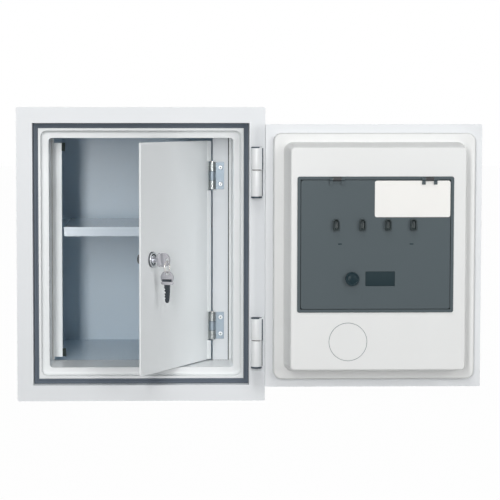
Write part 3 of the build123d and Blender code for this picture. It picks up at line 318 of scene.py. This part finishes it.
butt_x, butt_y = anchors["inner_door_hinge"][:2]
door_ranges = {joint["name"]: joint.get("range_deg") for joint in frame["joints"]}
locker_open = math.radians(-door_ranges["inner_door_hinge"][0])
swing = Matrix.Translation((butt_x, butt_y, 0)) @ Matrix.Rotation(locker_open, 4, "Z")
edge_width = 0.0072
edge_sheet = 0.0011
edge_x = -0.0044
edge_y = 0.0034
edge_turn = math.radians(-31)
for number, (foot, head) in enumerate(((0.0462, 0.0745), (0.1173, 0.2974), (0.3402, 0.3704))):
    edge = block(f"safe_edge_{number}", (edge_x, edge_y, (foot + head) / 2),
                 (edge_width, edge_sheet, head - foot), rotation=(0, 0, edge_turn))
    bpy.ops.object.mode_set(mode="EDIT")
    pick(edge, lambda centre, normal: normal.x > 0.8)
    push((0.0004, 0.0010, 0))
    push((-0.0002, 0.0014, 0))
    round_off(edge, 0.0004, 4, 20)
    edge.matrix_world = swing
    dress(settle(edge), door_lit_paint, "inner_door")

# Plated metals of the butt hinges, the locker's lock and the door bolts: nickel on what turns or
# slides, zinc on the rest. The stamped hinge leaves are darker, and the post's screws are pale.
nickel_plate = finish("nickel_plate", (0.62, 0.60, 0.57), roughness=0.22, metallic=1.0, peel=700.0,
                      depth=0.00002, brush=(1, 1, 6))
coat(nickel_plate, "butt_pins", "key_ring", "hinge_pins", "door_bolts", "lid_pins")
screw_zinc = finish("screw_zinc", (0.72, 0.71, 0.69), roughness=0.28, metallic=1.0, depth=0.00002)
coat(screw_zinc, "cam_screw", "lock_nut")
zinc_grey = finish("zinc_grey", (0.28, 0.335, 0.385), roughness=0.42, metallic=0.6, peel=500.0,
                   depth=0.00004, drift=0.2, rub=0.14)
coat(zinc_grey, "post_leaves")
zinc_olive = finish("zinc_olive", (0.36, 0.38, 0.38), roughness=0.30, metallic=1.0, peel=500.0,
                    depth=0.00004, drift=0.25, rub=0.16)
coat(zinc_olive, "door_leaves")
cam_black = finish("cam_black", (0.05, 0.055, 0.06), roughness=0.5, metallic=0.5, peel=800.0)
coat(cam_black, "lock_cam")
screw_white = finish("screw_white", (0.80, 0.82, 0.84), roughness=0.3, metallic=0.55, depth=0.00002)
coat(screw_white, "post_screws")

# Cross slots of the post screws: a thin dark cross on each pan head, painted shade where the cross is
# punched. The screws hold the butt hinges to the post, two to a leaf, and each stopped at an angle of its
# own.
butt_levels = (0.0959, 0.3188)
screw_pitch = 0.0245
screw_x = 0.1172
slot_y = -0.10105
slot_width = 0.0007
slot_depth = 0.0003
slot_arm = 0.0010
screw_levels = [level + side * screw_pitch / 2 for level in butt_levels for side in (-1, 1)]
for number, level in enumerate(screw_levels):
    cross = block(f"cross_slot_shade_{number}", (screw_x, slot_y, level), (slot_width, slot_depth, slot_width),
                  rotation=(0, math.radians(20 + 31 * number), 0))
    bpy.ops.object.mode_set(mode="EDIT")
    pick(cross, lambda centre, normal: abs(normal.y) < 0.5)
    bpy.ops.mesh.extrude_faces_move(MESH_OT_extrude_faces_indiv={},
                                    TRANSFORM_OT_shrink_fatten={"value": slot_arm})
    bpy.ops.object.mode_set(mode="OBJECT")
    dress(settle(cross), painted_shade_black, "cabinet")


# Knuckle seams: each butt hinge has three rolled knuckles on one pin, and a thin dark ring round the pin
# where two of them meet is painted shade in the joint.
def smooth(piece):
    """Shade every face smooth."""
    piece.data.polygons.foreach_set("use_smooth", [True] * len(piece.data.polygons))


knuckle_height = 0.01334
seam_levels = [level + side * knuckle_height / 2 for level in butt_levels for side in (-1, 1)]
for number, level in enumerate(seam_levels):
    seam = begin(f"knuckle_seam_shade_{number}", "torus", major_radius=0.0045, minor_radius=0.00022,
                 major_segments=48, minor_segments=8, location=(butt_x, butt_y, level))
    smooth(settle(seam))
    dress(seam, painted_shade_black, "cabinet")

# Bare machined steel of the boltwork, the strike cups, the cover's catch and the key blanks. It is
# ground along its length and lightly oiled.
bare_steel = finish("bare_steel", (0.50, 0.50, 0.50), roughness=0.35, metallic=1.0, brush=(1, 1, 8))
coat(bare_steel, "strike_cups", "bolt_sleeves", "rack_guide", "bolt_carriage", "bolt_pinion", "spindle",
     "catch_arm", "lid_keeper", "lock_key", "spare_key")


# Lift-off hinges: a turned barrel in two halves, sprayed a little glossier than the cabinet, on an
# oiled washer. A thin dark disc closes each outer end, and a dark rod along each half is painted shadow.
def rod(name, sides, radius, x, y, level, foot, head):
    """An upright cylinder, from foot to head above this level."""
    return settle(begin(name, "cylinder", vertices=sides, radius=radius, depth=head - foot,
                        location=(x, y, level + (foot + head) / 2)))


washer_dark = finish("washer_dark", (0.06, 0.052, 0.04), roughness=0.5, metallic=0.6)
coat(washer_dark, "hinge_washers")
sleeve_paint = finish("sleeve_paint", (0.90, 0.915, 0.92), roughness=0.25, depth=0.00005)
cap_and_shadow_slate = finish("cap_and_shadow_slate", (0.030, 0.050, 0.072), roughness=0.45, peel=900.0, depth=0.00003)
hinge_x, hinge_y = anchors["main_door_hinge"][:2]
sleeve_radius = 0.0078
sleeve_lip = 0.0009
cap_radius = 0.0079
shadow_line_radius = 0.0010
shadow_line_x = 0.1724
for number, level in enumerate((0.3304, 0.0872)):
    # Half, the sleeve's foot and head, the cap's foot and head, the shadow line's depth, body.
    for half, foot, head, cap_foot, cap_head, shadow_line_y, body in (
        ("lower", -0.0370, 0.0, -0.0394, -0.0370, -0.2168, "cabinet"),
        ("upper", 0.00105, 0.0317, 0.0317, 0.0334, -0.2304, "main_door"),
    ):
        sleeve = rod(f"hinge_{half}_{number}", 72, sleeve_radius, hinge_x, hinge_y, level, foot, head)
        bpy.ops.object.mode_set(mode="EDIT")
        pick(sleeve, lambda centre, normal: abs(normal.z) > 0.9)
        bpy.ops.mesh.inset(thickness=sleeve_lip)
        round_off(sleeve, 0.0007, 4)
        dress(sleeve, sleeve_paint, body)
        cap = rod(f"hinge_cap_{half}_{number}", 72, cap_radius, hinge_x, hinge_y, level, cap_foot, cap_head)
        round_off(cap, 0.0004)
        dress(cap, cap_and_shadow_slate, body)
        # A thin dark rod on the barrel's right side, painted shadow where the barrel meets the door's edge.
        shadow_line = rod(f"hinge_shadow_line_{half}_{number}", 16, shadow_line_radius, shadow_line_x, shadow_line_y, level, foot, head)
        round_off(shadow_line, 0.0003, 2)
        dress(shadow_line, cap_and_shadow_slate, body)


# Keys: stamped from plate with a dome-shaped bow, a milled band across it and a dark ground blade.
# The band's faces are painted dark, a painted dark reflection.
# One is modelled hanging down from the top of its bow, and a copy is turned into the lock. The copy's
# blade is hidden in the plug, and it is bright all over.
def cut(piece, cutter):
    """Take the cutter out of the piece, then drop the cutter."""
    bpy.ops.object.select_all(action="DESELECT")
    piece.select_set(True)
    bpy.context.view_layer.objects.active = piece
    saw = piece.modifiers.new("saw", "BOOLEAN")
    saw.operation = "DIFFERENCE"
    saw.object = cutter
    saw.solver = "EXACT"
    bpy.ops.object.modifier_apply(modifier="saw")
    bpy.data.objects.remove(cutter)


def widen(share, level=0):
    """Scale what is selected across the key, by this share of its width."""
    bpy.ops.transform.resize(value=(share, 1, 1), center_override=(0, 0, level))


key_chrome = finish("key_chrome", (0.42, 0.42, 0.45), roughness=0.3, metallic=1.0, peel=900.0, depth=0.00003)
key_dark_and_reflection = finish("key_dark_and_reflection", (0.045, 0.055, 0.065), roughness=0.38, metallic=0.6, peel=900.0, depth=0.00003,
                  brush=(1, 1, 6))
bow_radius = 0.0098
key_plate = 0.0020
eye_radius = 0.0026
eye_level = -0.0043
bow_foot = -0.0165
shoulder_height = 0.0026
neck_height = 0.0006
shoulder_foot = bow_foot - shoulder_height
neck_foot = shoulder_foot - neck_height
spare = begin("spare_key_fine", "cylinder", vertices=48, radius=bow_radius, depth=key_plate,
              location=(0, 0, -bow_radius), rotation=facing_front)
settle(spare)
bpy.ops.object.mode_set(mode="EDIT")
bpy.ops.mesh.select_all(action="SELECT")
bpy.ops.mesh.bisect(plane_co=(0, 0, bow_foot), plane_no=(0, 0, -1), use_fill=True, clear_outer=True)
pick(spare, lambda centre, normal: normal.z < -0.9 and centre.z < bow_foot + 0.0005)
widen(1.36, bow_foot)
push((0, 0, -shoulder_height))
widen(0.86, shoulder_foot)
push((0, 0, -neck_height))
widen(0.50, neck_foot)
# Lengths of the blade down to its tip: how long each is, and how much narrower it ends.
blade_steps = ((0.0060, 0.96), (0.0060, 0.93), (0.0060, 0.90), (0.0050, 0.80), (0.0022, 0.5))
for drop, share in blade_steps:
    push((0, 0, -drop))
    widen(share)
bpy.ops.object.mode_set(mode="OBJECT")
cut(spare, begin("eye", "cylinder", vertices=24, radius=eye_radius, depth=0.01,
                 location=(0, 0, eye_level), rotation=facing_front))

# The band is milled across both faces of the bow, and a flute runs down both faces of the blade. The
# four notches of the blade's edge differ in depth, each cut by a wheel with a square corner.
band_level = -0.0135
band_width = 0.0150
band_height = 0.0036
flute_level = -0.0310
flute_width = 0.0012
flute_length = 0.0230
for side in (-1, 1):
    cut(spare, block("band", (0, side * 0.00115, band_level), (band_width, 0.0010, band_height)))
    cut(spare, block("flute", (side * 0.0009, side * 0.0010, flute_level),
                     (flute_width, 0.0008, flute_length)))
notch_x = 0.0038
notch_level = -0.0260
notch_pitch = 0.0042
for number, depth in enumerate((0.0010, 0.0018, 0.0007, 0.0015)):
    wheel = 0.0010 + depth
    cut(spare, block("notch", (notch_x, 0, notch_level - notch_pitch * number), (wheel, 0.004, wheel),
                     rotation=(0, math.radians(45), 0)))
round_off(spare, 0.0002, 2, 30)
spare.data.materials.append(key_chrome)
spare.data.materials.append(key_dark_and_reflection)
ground_top = -0.0199
milled_face = 0.00085
# The blade takes the dark finish, and so do the band's faces, where it is a painted dark reflection.
for face in spare.data.polygons:
    ground = face.center.z < ground_top
    in_band = abs(face.center.z - band_level) < band_height / 2 + 0.0001
    milled_reflection = in_band and abs(face.center.y) < milled_face and abs(face.normal.y) > 0.9
    face.material_index = 1 if ground or milled_reflection else 0
inserted = spare.copy()
inserted.data = spare.data.copy()
inserted.name = "lock_key_fine"
for face in inserted.data.polygons:
    face.material_index = 0
bpy.context.scene.collection.objects.link(inserted)

# The spare key hangs from the ring by its eye, with its plate square to the locker's door.
low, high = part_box("spare_key")
key_top = Vector(((low.x + high.x) / 2, (low.y + high.y) / 2, high.z))
spare.matrix_world = Matrix.Translation(key_top) @ Matrix.Rotation(locker_open + math.radians(90), 4, "Z")
settle(spare)
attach(spare, "second_key")
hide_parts("spare_key")

# The inserted key points into the door, with the top of its bow where the plain key's end stands out.
low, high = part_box("lock_key")
outward = Vector((math.sin(locker_open), -math.cos(locker_open), 0))
key_middle = (low + high) / 2
reach = max((vertex.co - key_middle).dot(outward) for vertex in nodes["lock_key"].data.vertices)
turn = Matrix.Identity(3)
turn.col[0] = Vector((0, 0, 1))
turn.col[2] = outward
turn.col[1] = outward.cross(Vector((0, 0, 1)))
inserted.matrix_world = Matrix.Translation(key_middle + outward * reach) @ turn.to_4x4()
settle(inserted)
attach(inserted, "key")
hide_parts("lock_key")

# Service tray and its lid: dark grey moulded plastic with a fine etched skin. The tray is let into
# the door's lining, and the lid hangs in it from two clips.
dark_panel = finish("dark_panel", (0.056, 0.078, 0.088), roughness=0.5, peel=1500.0, depth=0.00008,
                    drift=0.09, shine=0.4)
coat(dark_panel, "service_tray", "cover_lid")

# Black mouldings: the lid's clips, the keypad's housing, the battery holder and the lock's case,
# all of one satin black plastic.
black_moulding = finish("black_moulding", (0.02, 0.022, 0.024), roughness=0.42, peel=1200.0)
coat(black_moulding, "key_hooks", "lid_clips", "keypad_housing", "battery_holder", "lock_case")


# Label: a warm white plastic plate with round corners, glued flat in the upper right corner of the
# lid.
def pick_edges(piece, wanted):
    """In edit mode, select the edges whose two ends pass the test."""
    mesh = bmesh.from_edit_mesh(piece.data)
    bpy.context.tool_settings.mesh_select_mode = (False, True, False)
    mesh.select_mode = {"EDGE"}
    for part in (*mesh.verts, *mesh.edges, *mesh.faces):
        part.select = False
    for edge in mesh.edges:
        if wanted(edge.verts[0].co, edge.verts[1].co):
            edge.select = True
    mesh.select_flush_mode()
    bmesh.update_edit_mesh(piece.data)


def runs_in_depth(start, end):
    """True for an edge that runs straight from front to back."""
    return abs(start.x - end.x) < 1e-6 and abs(start.z - end.z) < 1e-6


label_white = finish("label_white", (0.96, 0.95, 0.92), roughness=0.35, peel=800.0, depth=0.00001, drift=0.01)
lid_face = -0.312
label_x = 0.3750
label_z = 0.29345
label_width = 0.1044
label_height = 0.0503
label_sheet = 0.0004
label_corner = 0.0028
label = block("label_plate", (label_x, lid_face - label_sheet / 2, label_z),
              (label_width, label_sheet, label_height))
bpy.ops.object.mode_set(mode="EDIT")
pick_edges(label, runs_in_depth)
bpy.ops.mesh.bevel(offset=label_corner, segments=6)
round_off(label, 0.0001, 1, 60)
dress(label, label_white, "cover")

# Recess pad: a near-black soft pad, pressed into the shallow recess beside the knob so that it
# lies a little below the lid's face.
pad_black_and_slot_shade = finish("pad_black_and_slot_shade", (0.021, 0.038, 0.045), roughness=0.6, peel=1300.0, depth=0.00004, shine=0.12)
pad_x = 0.3308
pad_z = 0.1830
pad_width = 0.0403
pad_height = 0.0199
pad_sheet = 0.0010
pad_sink = 0.0007
pad = block("recess_pad", (pad_x, lid_face + pad_sink, pad_z), (pad_width, pad_sheet, pad_height))
round_off(pad, 0.0003, 2)
dress(pad, pad_black_and_slot_shade, "cover")

# Witness slots: two small slots with round ends, moulded in the lid below the hooks. Each is shown by a
# thin dark plate on the lid's face, painted shade in the slot.
witness_z = 0.2312
witness_width = 0.0056
witness_height = 0.0017
witness_sheet = 0.0004
witness_rise = 0.0001
witness_corner = 0.0008
for number, x in enumerate((0.2750, 0.3739)):
    witness = block(f"witness_slot_shade_{number}", (x, lid_face - witness_rise, witness_z),
                    (witness_width, witness_sheet, witness_height))
    bpy.ops.object.mode_set(mode="EDIT")
    pick_edges(witness, runs_in_depth)
    bpy.ops.mesh.bevel(offset=witness_corner, segments=4)
    dress(settle(witness), pad_black_and_slot_shade, "cover")

# Key hooks: four black moulded pegs in a row, each with a rounded head and a hollow front, standing
# out of the lid.
hook_black = finish("hook_black", (0.022, 0.034, 0.036), roughness=0.36, peel=1200.0, depth=0.00003,
                    shine=0.3)
low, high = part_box("key_hooks")
hook_line = (low.z + high.z) / 2
hook_width = 0.0083
hook_head = 0.0038
hook_wall = 0.0013
hook_hollow = 0.0044
hollow_taper = 0.8
hooks = None
for x in (0.2693, 0.3057, 0.3410, 0.3762):
    hook = block("key_hook", (x, (low.y + high.y) / 2, hook_line),
                 (hook_width, high.y - low.y, high.z - low.z))
    bpy.ops.object.mode_set(mode="EDIT")
    pick_edges(hook, lambda start, end: start.z > hook_line and runs_in_depth(start, end))
    bpy.ops.mesh.bevel(offset=hook_head, segments=7)
    pick(hook, lambda centre, normal: normal.y < -0.9)
    bpy.ops.mesh.inset(thickness=hook_wall)
    push((0, hook_hollow, 0))
    bpy.ops.transform.resize(value=(hollow_taper, 1, hollow_taper), center_override=(x, low.y, hook_line))
    round_off(hook, 0.0005, 2)
    if hooks is None:
        hooks = hook
        continue
    bpy.ops.object.select_all(action="DESELECT")
    hook.select_set(True)
    hooks.select_set(True)
    bpy.context.view_layer.objects.active = hooks
    bpy.ops.object.join()
hooks.name = "hook_row"
dress(hooks, hook_black, "cover")
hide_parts("key_hooks")

# Catch knob: a turned black knob with a domed middle in a raised ring, pressed on the catch's stem.
# Its skirt stands on the lid, and a small groove runs round it for the finger.
knob_black = finish("knob_black", (0.009, 0.027, 0.035), roughness=0.26, peel=1400.0, depth=0.00002,
                    shine=0.16)
low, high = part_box("catch_knob")
knob_radius = 0.0094
# Steps of the knob's face from the rim inwards: how wide each is, and how far it rises.
knob_steps = ((0.0016, 0.0), (0.0003, -0.0007), (0.0022, 0.0003), (0.0024, 0.0004), (0.0016, 0.0001))
knob = settle(begin("knob_cap", "cylinder", vertices=64, radius=knob_radius, depth=high.y - low.y,
                    location=(low + high) / 2, rotation=facing_front))
bpy.ops.object.mode_set(mode="EDIT")
pick(knob, lambda centre, normal: normal.y < -0.9)
for width, rise in knob_steps:
    bpy.ops.mesh.inset(thickness=width, depth=rise)
round_off(knob, 0.0005, 3, 30)
for vertex in knob.data.vertices:
    vertex.co.y = max(vertex.co.y, low.y)
dress(knob, knob_black, "lid_catch")
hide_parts("catch_knob")


# Plug line: the shallow groove round the filler plug, shown by a fine dark ring on the door's lining,
# painted shade in the groove.
plug_groove_shade = finish("plug_groove_shade", (0.30, 0.33, 0.34), roughness=0.7, peel=700.0, drift=0.3)
plug_x = 0.2868
plug_z = 0.0952
groove_y = -0.3104
ring = begin("plug_line", "torus", major_radius=0.0263, minor_radius=0.00042, major_segments=96,
             minor_segments=8, location=(plug_x, groove_y, plug_z), rotation=facing_front)
ring.scale = (1, 1, 0.5)
smooth(settle(ring))
dress(ring, plug_groove_shade, "main_door")

# Flange of the locker's lock: a turned and plated disc with a raised rim, a moat painted dark as shade
# and a bright collar round the plug. It is clamped by the nut behind the sheet.
lock_chrome = finish("lock_chrome", (0.66, 0.68, 0.70), roughness=0.2, metallic=1.0, peel=800.0,
                     depth=0.00002)
coat(lock_chrome, "lock_plug")
lock_shade = finish("lock_shade", (0.11, 0.12, 0.13), roughness=0.32, metallic=0.9, peel=800.0,
                    depth=0.00003)
# The barrel shows in the moat, and its dark colour is painted shade.
coat(lock_shade, "lock_barrel")
# The lock's place on the shut door, from the butt hinges' axis and the ground.
lock_x = -0.1875
lock_y = 0.0020
lock_z = 0.2070
lock_place = swing @ Matrix.Translation((lock_x, lock_y, lock_z))
for name, radius, thickness in (("lock_rim", 0.0093, 0.0013), ("lock_collar", 0.0068, 0.0007)):
    hoop = begin(name, "torus", major_radius=radius, minor_radius=thickness, major_segments=72,
                 minor_segments=12, location=(0, 0.0006, 0), rotation=facing_front)
    hoop.scale = (1, 1, 0.7)
    smooth(settle(hoop))
    hoop.matrix_world = lock_place
    dress(settle(hoop), lock_chrome, "inner_door")

# Keypad figures: plain digits printed in pale ink on the rubber keys of the outer keypad. The door
# stands open by half a turn, so the keypad faces back, and each row runs towards lower X.
digit_pale = finish("digit_pale", (0.72, 0.74, 0.75), roughness=0.6, peel=900.0, depth=0.00001)
keypad_x = 0.2834
keypad_y = -0.21530
keypad_z = 0.2300
column_pitch = 0.019
row_pitch = 0.020
digit_height = 0.0085
digit_relief = 0.00006
for number, figure in enumerate("1234567890"):
    row, column = (3, 1) if figure == "0" else divmod(number, 3)
    bpy.ops.object.select_all(action="DESELECT")
    bpy.ops.object.text_add(
        location=(keypad_x + (1 - column) * column_pitch, keypad_y, keypad_z + (1.5 - row) * row_pitch),
        rotation=(math.radians(90), 0, math.radians(180)))
    digit = bpy.context.object
    digit.data.body = figure
    digit.data.size = digit_height
    digit.data.align_x = "CENTER"
    digit.data.align_y = "CENTER"
    digit.data.extrude = digit_relief
    bpy.ops.object.convert(target="MESH")
    digit = bpy.context.object
    digit.name = f"keypad_digit_{figure}"
    dress(settle(digit), digit_pale, "main_door")
key_rubber = finish("key_rubber", (0.05, 0.052, 0.055), roughness=0.7, peel=1600.0)
coat(key_rubber, "keypad_membrane")

# Handle and rose: cast lever in satin nickel, brushed along its length. The cells behind the
# service lid are wrapped in a plain green film.
handle_metal = finish("handle_metal", (0.45, 0.45, 0.46), roughness=0.3, metallic=1.0, brush=(6, 6, 1))
coat(handle_metal, "lever", "handle_rose")
cell_wrap = finish("cell_wrap", (0.05, 0.20, 0.12), roughness=0.35)
coat(cell_wrap, "cells")


# Floor: a plain pale sheet that glows white to the camera and in reflections, so that the ground
# fades out. To all other light it is matt grey, and it keeps a little of the safe's shadow.
def seen_directly(tree):
    """One to the camera, in reflections and through clear pieces, and nought to other light."""
    rays = tree.nodes.new("ShaderNodeLightPath")
    clear = tree.nodes.new("ShaderNodeMath")
    clear.operation = "MAXIMUM"
    tree.links.new(rays.outputs["Is Glossy Ray"], clear.inputs[0])
    tree.links.new(rays.outputs["Is Transmission Ray"], clear.inputs[1])
    seen = tree.nodes.new("ShaderNodeMath")
    seen.operation = "MAXIMUM"
    tree.links.new(rays.outputs["Is Camera Ray"], seen.inputs[0])
    tree.links.new(clear.outputs[0], seen.inputs[1])
    return seen.outputs[0]


floor = begin("floor", "plane", size=24, location=(0, 0, 0))
floor_paint = bpy.data.materials.new("floor_paint")
floor_paint.use_nodes = True
tree = floor_paint.node_tree
tree.nodes.clear()
matt_tone = 0.42
glow_share = 0.985
surface = tree.nodes.new("ShaderNodeOutputMaterial")
matt = tree.nodes.new("ShaderNodeBsdfDiffuse")
matt.inputs["Color"].default_value = (matt_tone, matt_tone, matt_tone, 1)
glow = tree.nodes.new("ShaderNodeEmission")
glow.inputs["Color"].default_value = (1, 1, 1, 1)
dimmer = tree.nodes.new("ShaderNodeMath")
dimmer.operation = "MULTIPLY"
dimmer.inputs[1].default_value = glow_share
tree.links.new(seen_directly(tree), dimmer.inputs[0])
both = tree.nodes.new("ShaderNodeMixShader")
tree.links.new(dimmer.outputs[0], both.inputs[0])
tree.links.new(matt.outputs[0], both.inputs[1])
tree.links.new(glow.outputs[0], both.inputs[2])
tree.links.new(both.outputs[0], surface.inputs["Surface"])
floor.data.materials.append(floor_paint)
floor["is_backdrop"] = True

# Surround: white to the camera and in reflections, and otherwise only a faint cool fill light, so
# that the lamps shape the safe.
world = bpy.data.worlds.new("studio")
bpy.context.scene.world = world
world.use_nodes = True
tree = world.node_tree
tree.nodes.clear()
surface = tree.nodes.new("ShaderNodeOutputWorld")
soft = tree.nodes.new("ShaderNodeBackground")
soft.inputs["Color"].default_value = (0.95, 0.98, 1.0, 1)
soft.inputs["Strength"].default_value = 0.08
white = tree.nodes.new("ShaderNodeBackground")
white.inputs["Color"].default_value = (1, 1, 1, 1)
white.inputs["Strength"].default_value = 1.0
both = tree.nodes.new("ShaderNodeMixShader")
tree.links.new(seen_directly(tree), both.inputs[0])
tree.links.new(soft.outputs[0], both.inputs[1])
tree.links.new(white.outputs[0], both.inputs[2])
tree.links.new(both.outputs[0], surface.inputs["Surface"])

# Lamps: a tall narrow soft box a little to the left of the camera, a broad one to its right, one that
# hangs above, and two more that light the back. Three are turned to the middle of the front.
front_middle = (0.15, -0.2, 0.2)
back_middle = (0.1, 0.0, 0.2)
# Name, place, what it is turned to, its width and height in metres, its power in watts.
for name, place, aim, width, height, power in (
    ("lamp_front", (-0.39, -3.2, 0.60), front_middle, 0.22, 1.7, 41.0),
    ("lamp_right", (1.75, -3.0, 0.9), front_middle, 0.9, 1.5, 27.0),
    ("lamp_above", (0.15, -1.7, 2.5), front_middle, 1.6, 1.2, 17.0),
    ("lamp_back_left", (-2.3, 2.8, 1.9), back_middle, 1.4, 1.4, 62.0),
    ("lamp_back_right", (2.7, 2.6, 1.7), back_middle, 1.4, 1.4, 62.0),
):
    light = bpy.data.lights.new(name, "AREA")
    light.shape = "RECTANGLE"
    light.size = width
    light.size_y = height
    light.energy = power
    lamp = bpy.data.objects.new(name, light)
    bpy.context.scene.collection.objects.link(lamp)
    lamp.location = place
    lamp.rotation_euler = (Vector(aim) - Vector(place)).to_track_quat("-Z", "Y").to_euler()

# Camera: a long lens at door height, almost square to the front and looking slightly down, so that
# the shelf's top and the right wall of the throat just show.
camera_data = bpy.data.cameras.new("camera")
camera = bpy.data.objects.new("camera", camera_data)
bpy.context.scene.collection.objects.link(camera)
look_down = math.radians(4.016)
look_right = math.radians(1.335)
camera.location = (0.0185, -3.0255, 0.4139)
camera.rotation_euler = (math.radians(90) - look_down, 0, -look_right)
camera_data.sensor_width = 36
camera_data.lens = 142.19
camera_data.shift_x = 0.1
camera_data.clip_start = 0.1
camera_data.clip_end = 60
bpy.context.scene.camera = camera
bpy.context.scene.view_settings.view_transform = "Standard"

low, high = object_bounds()
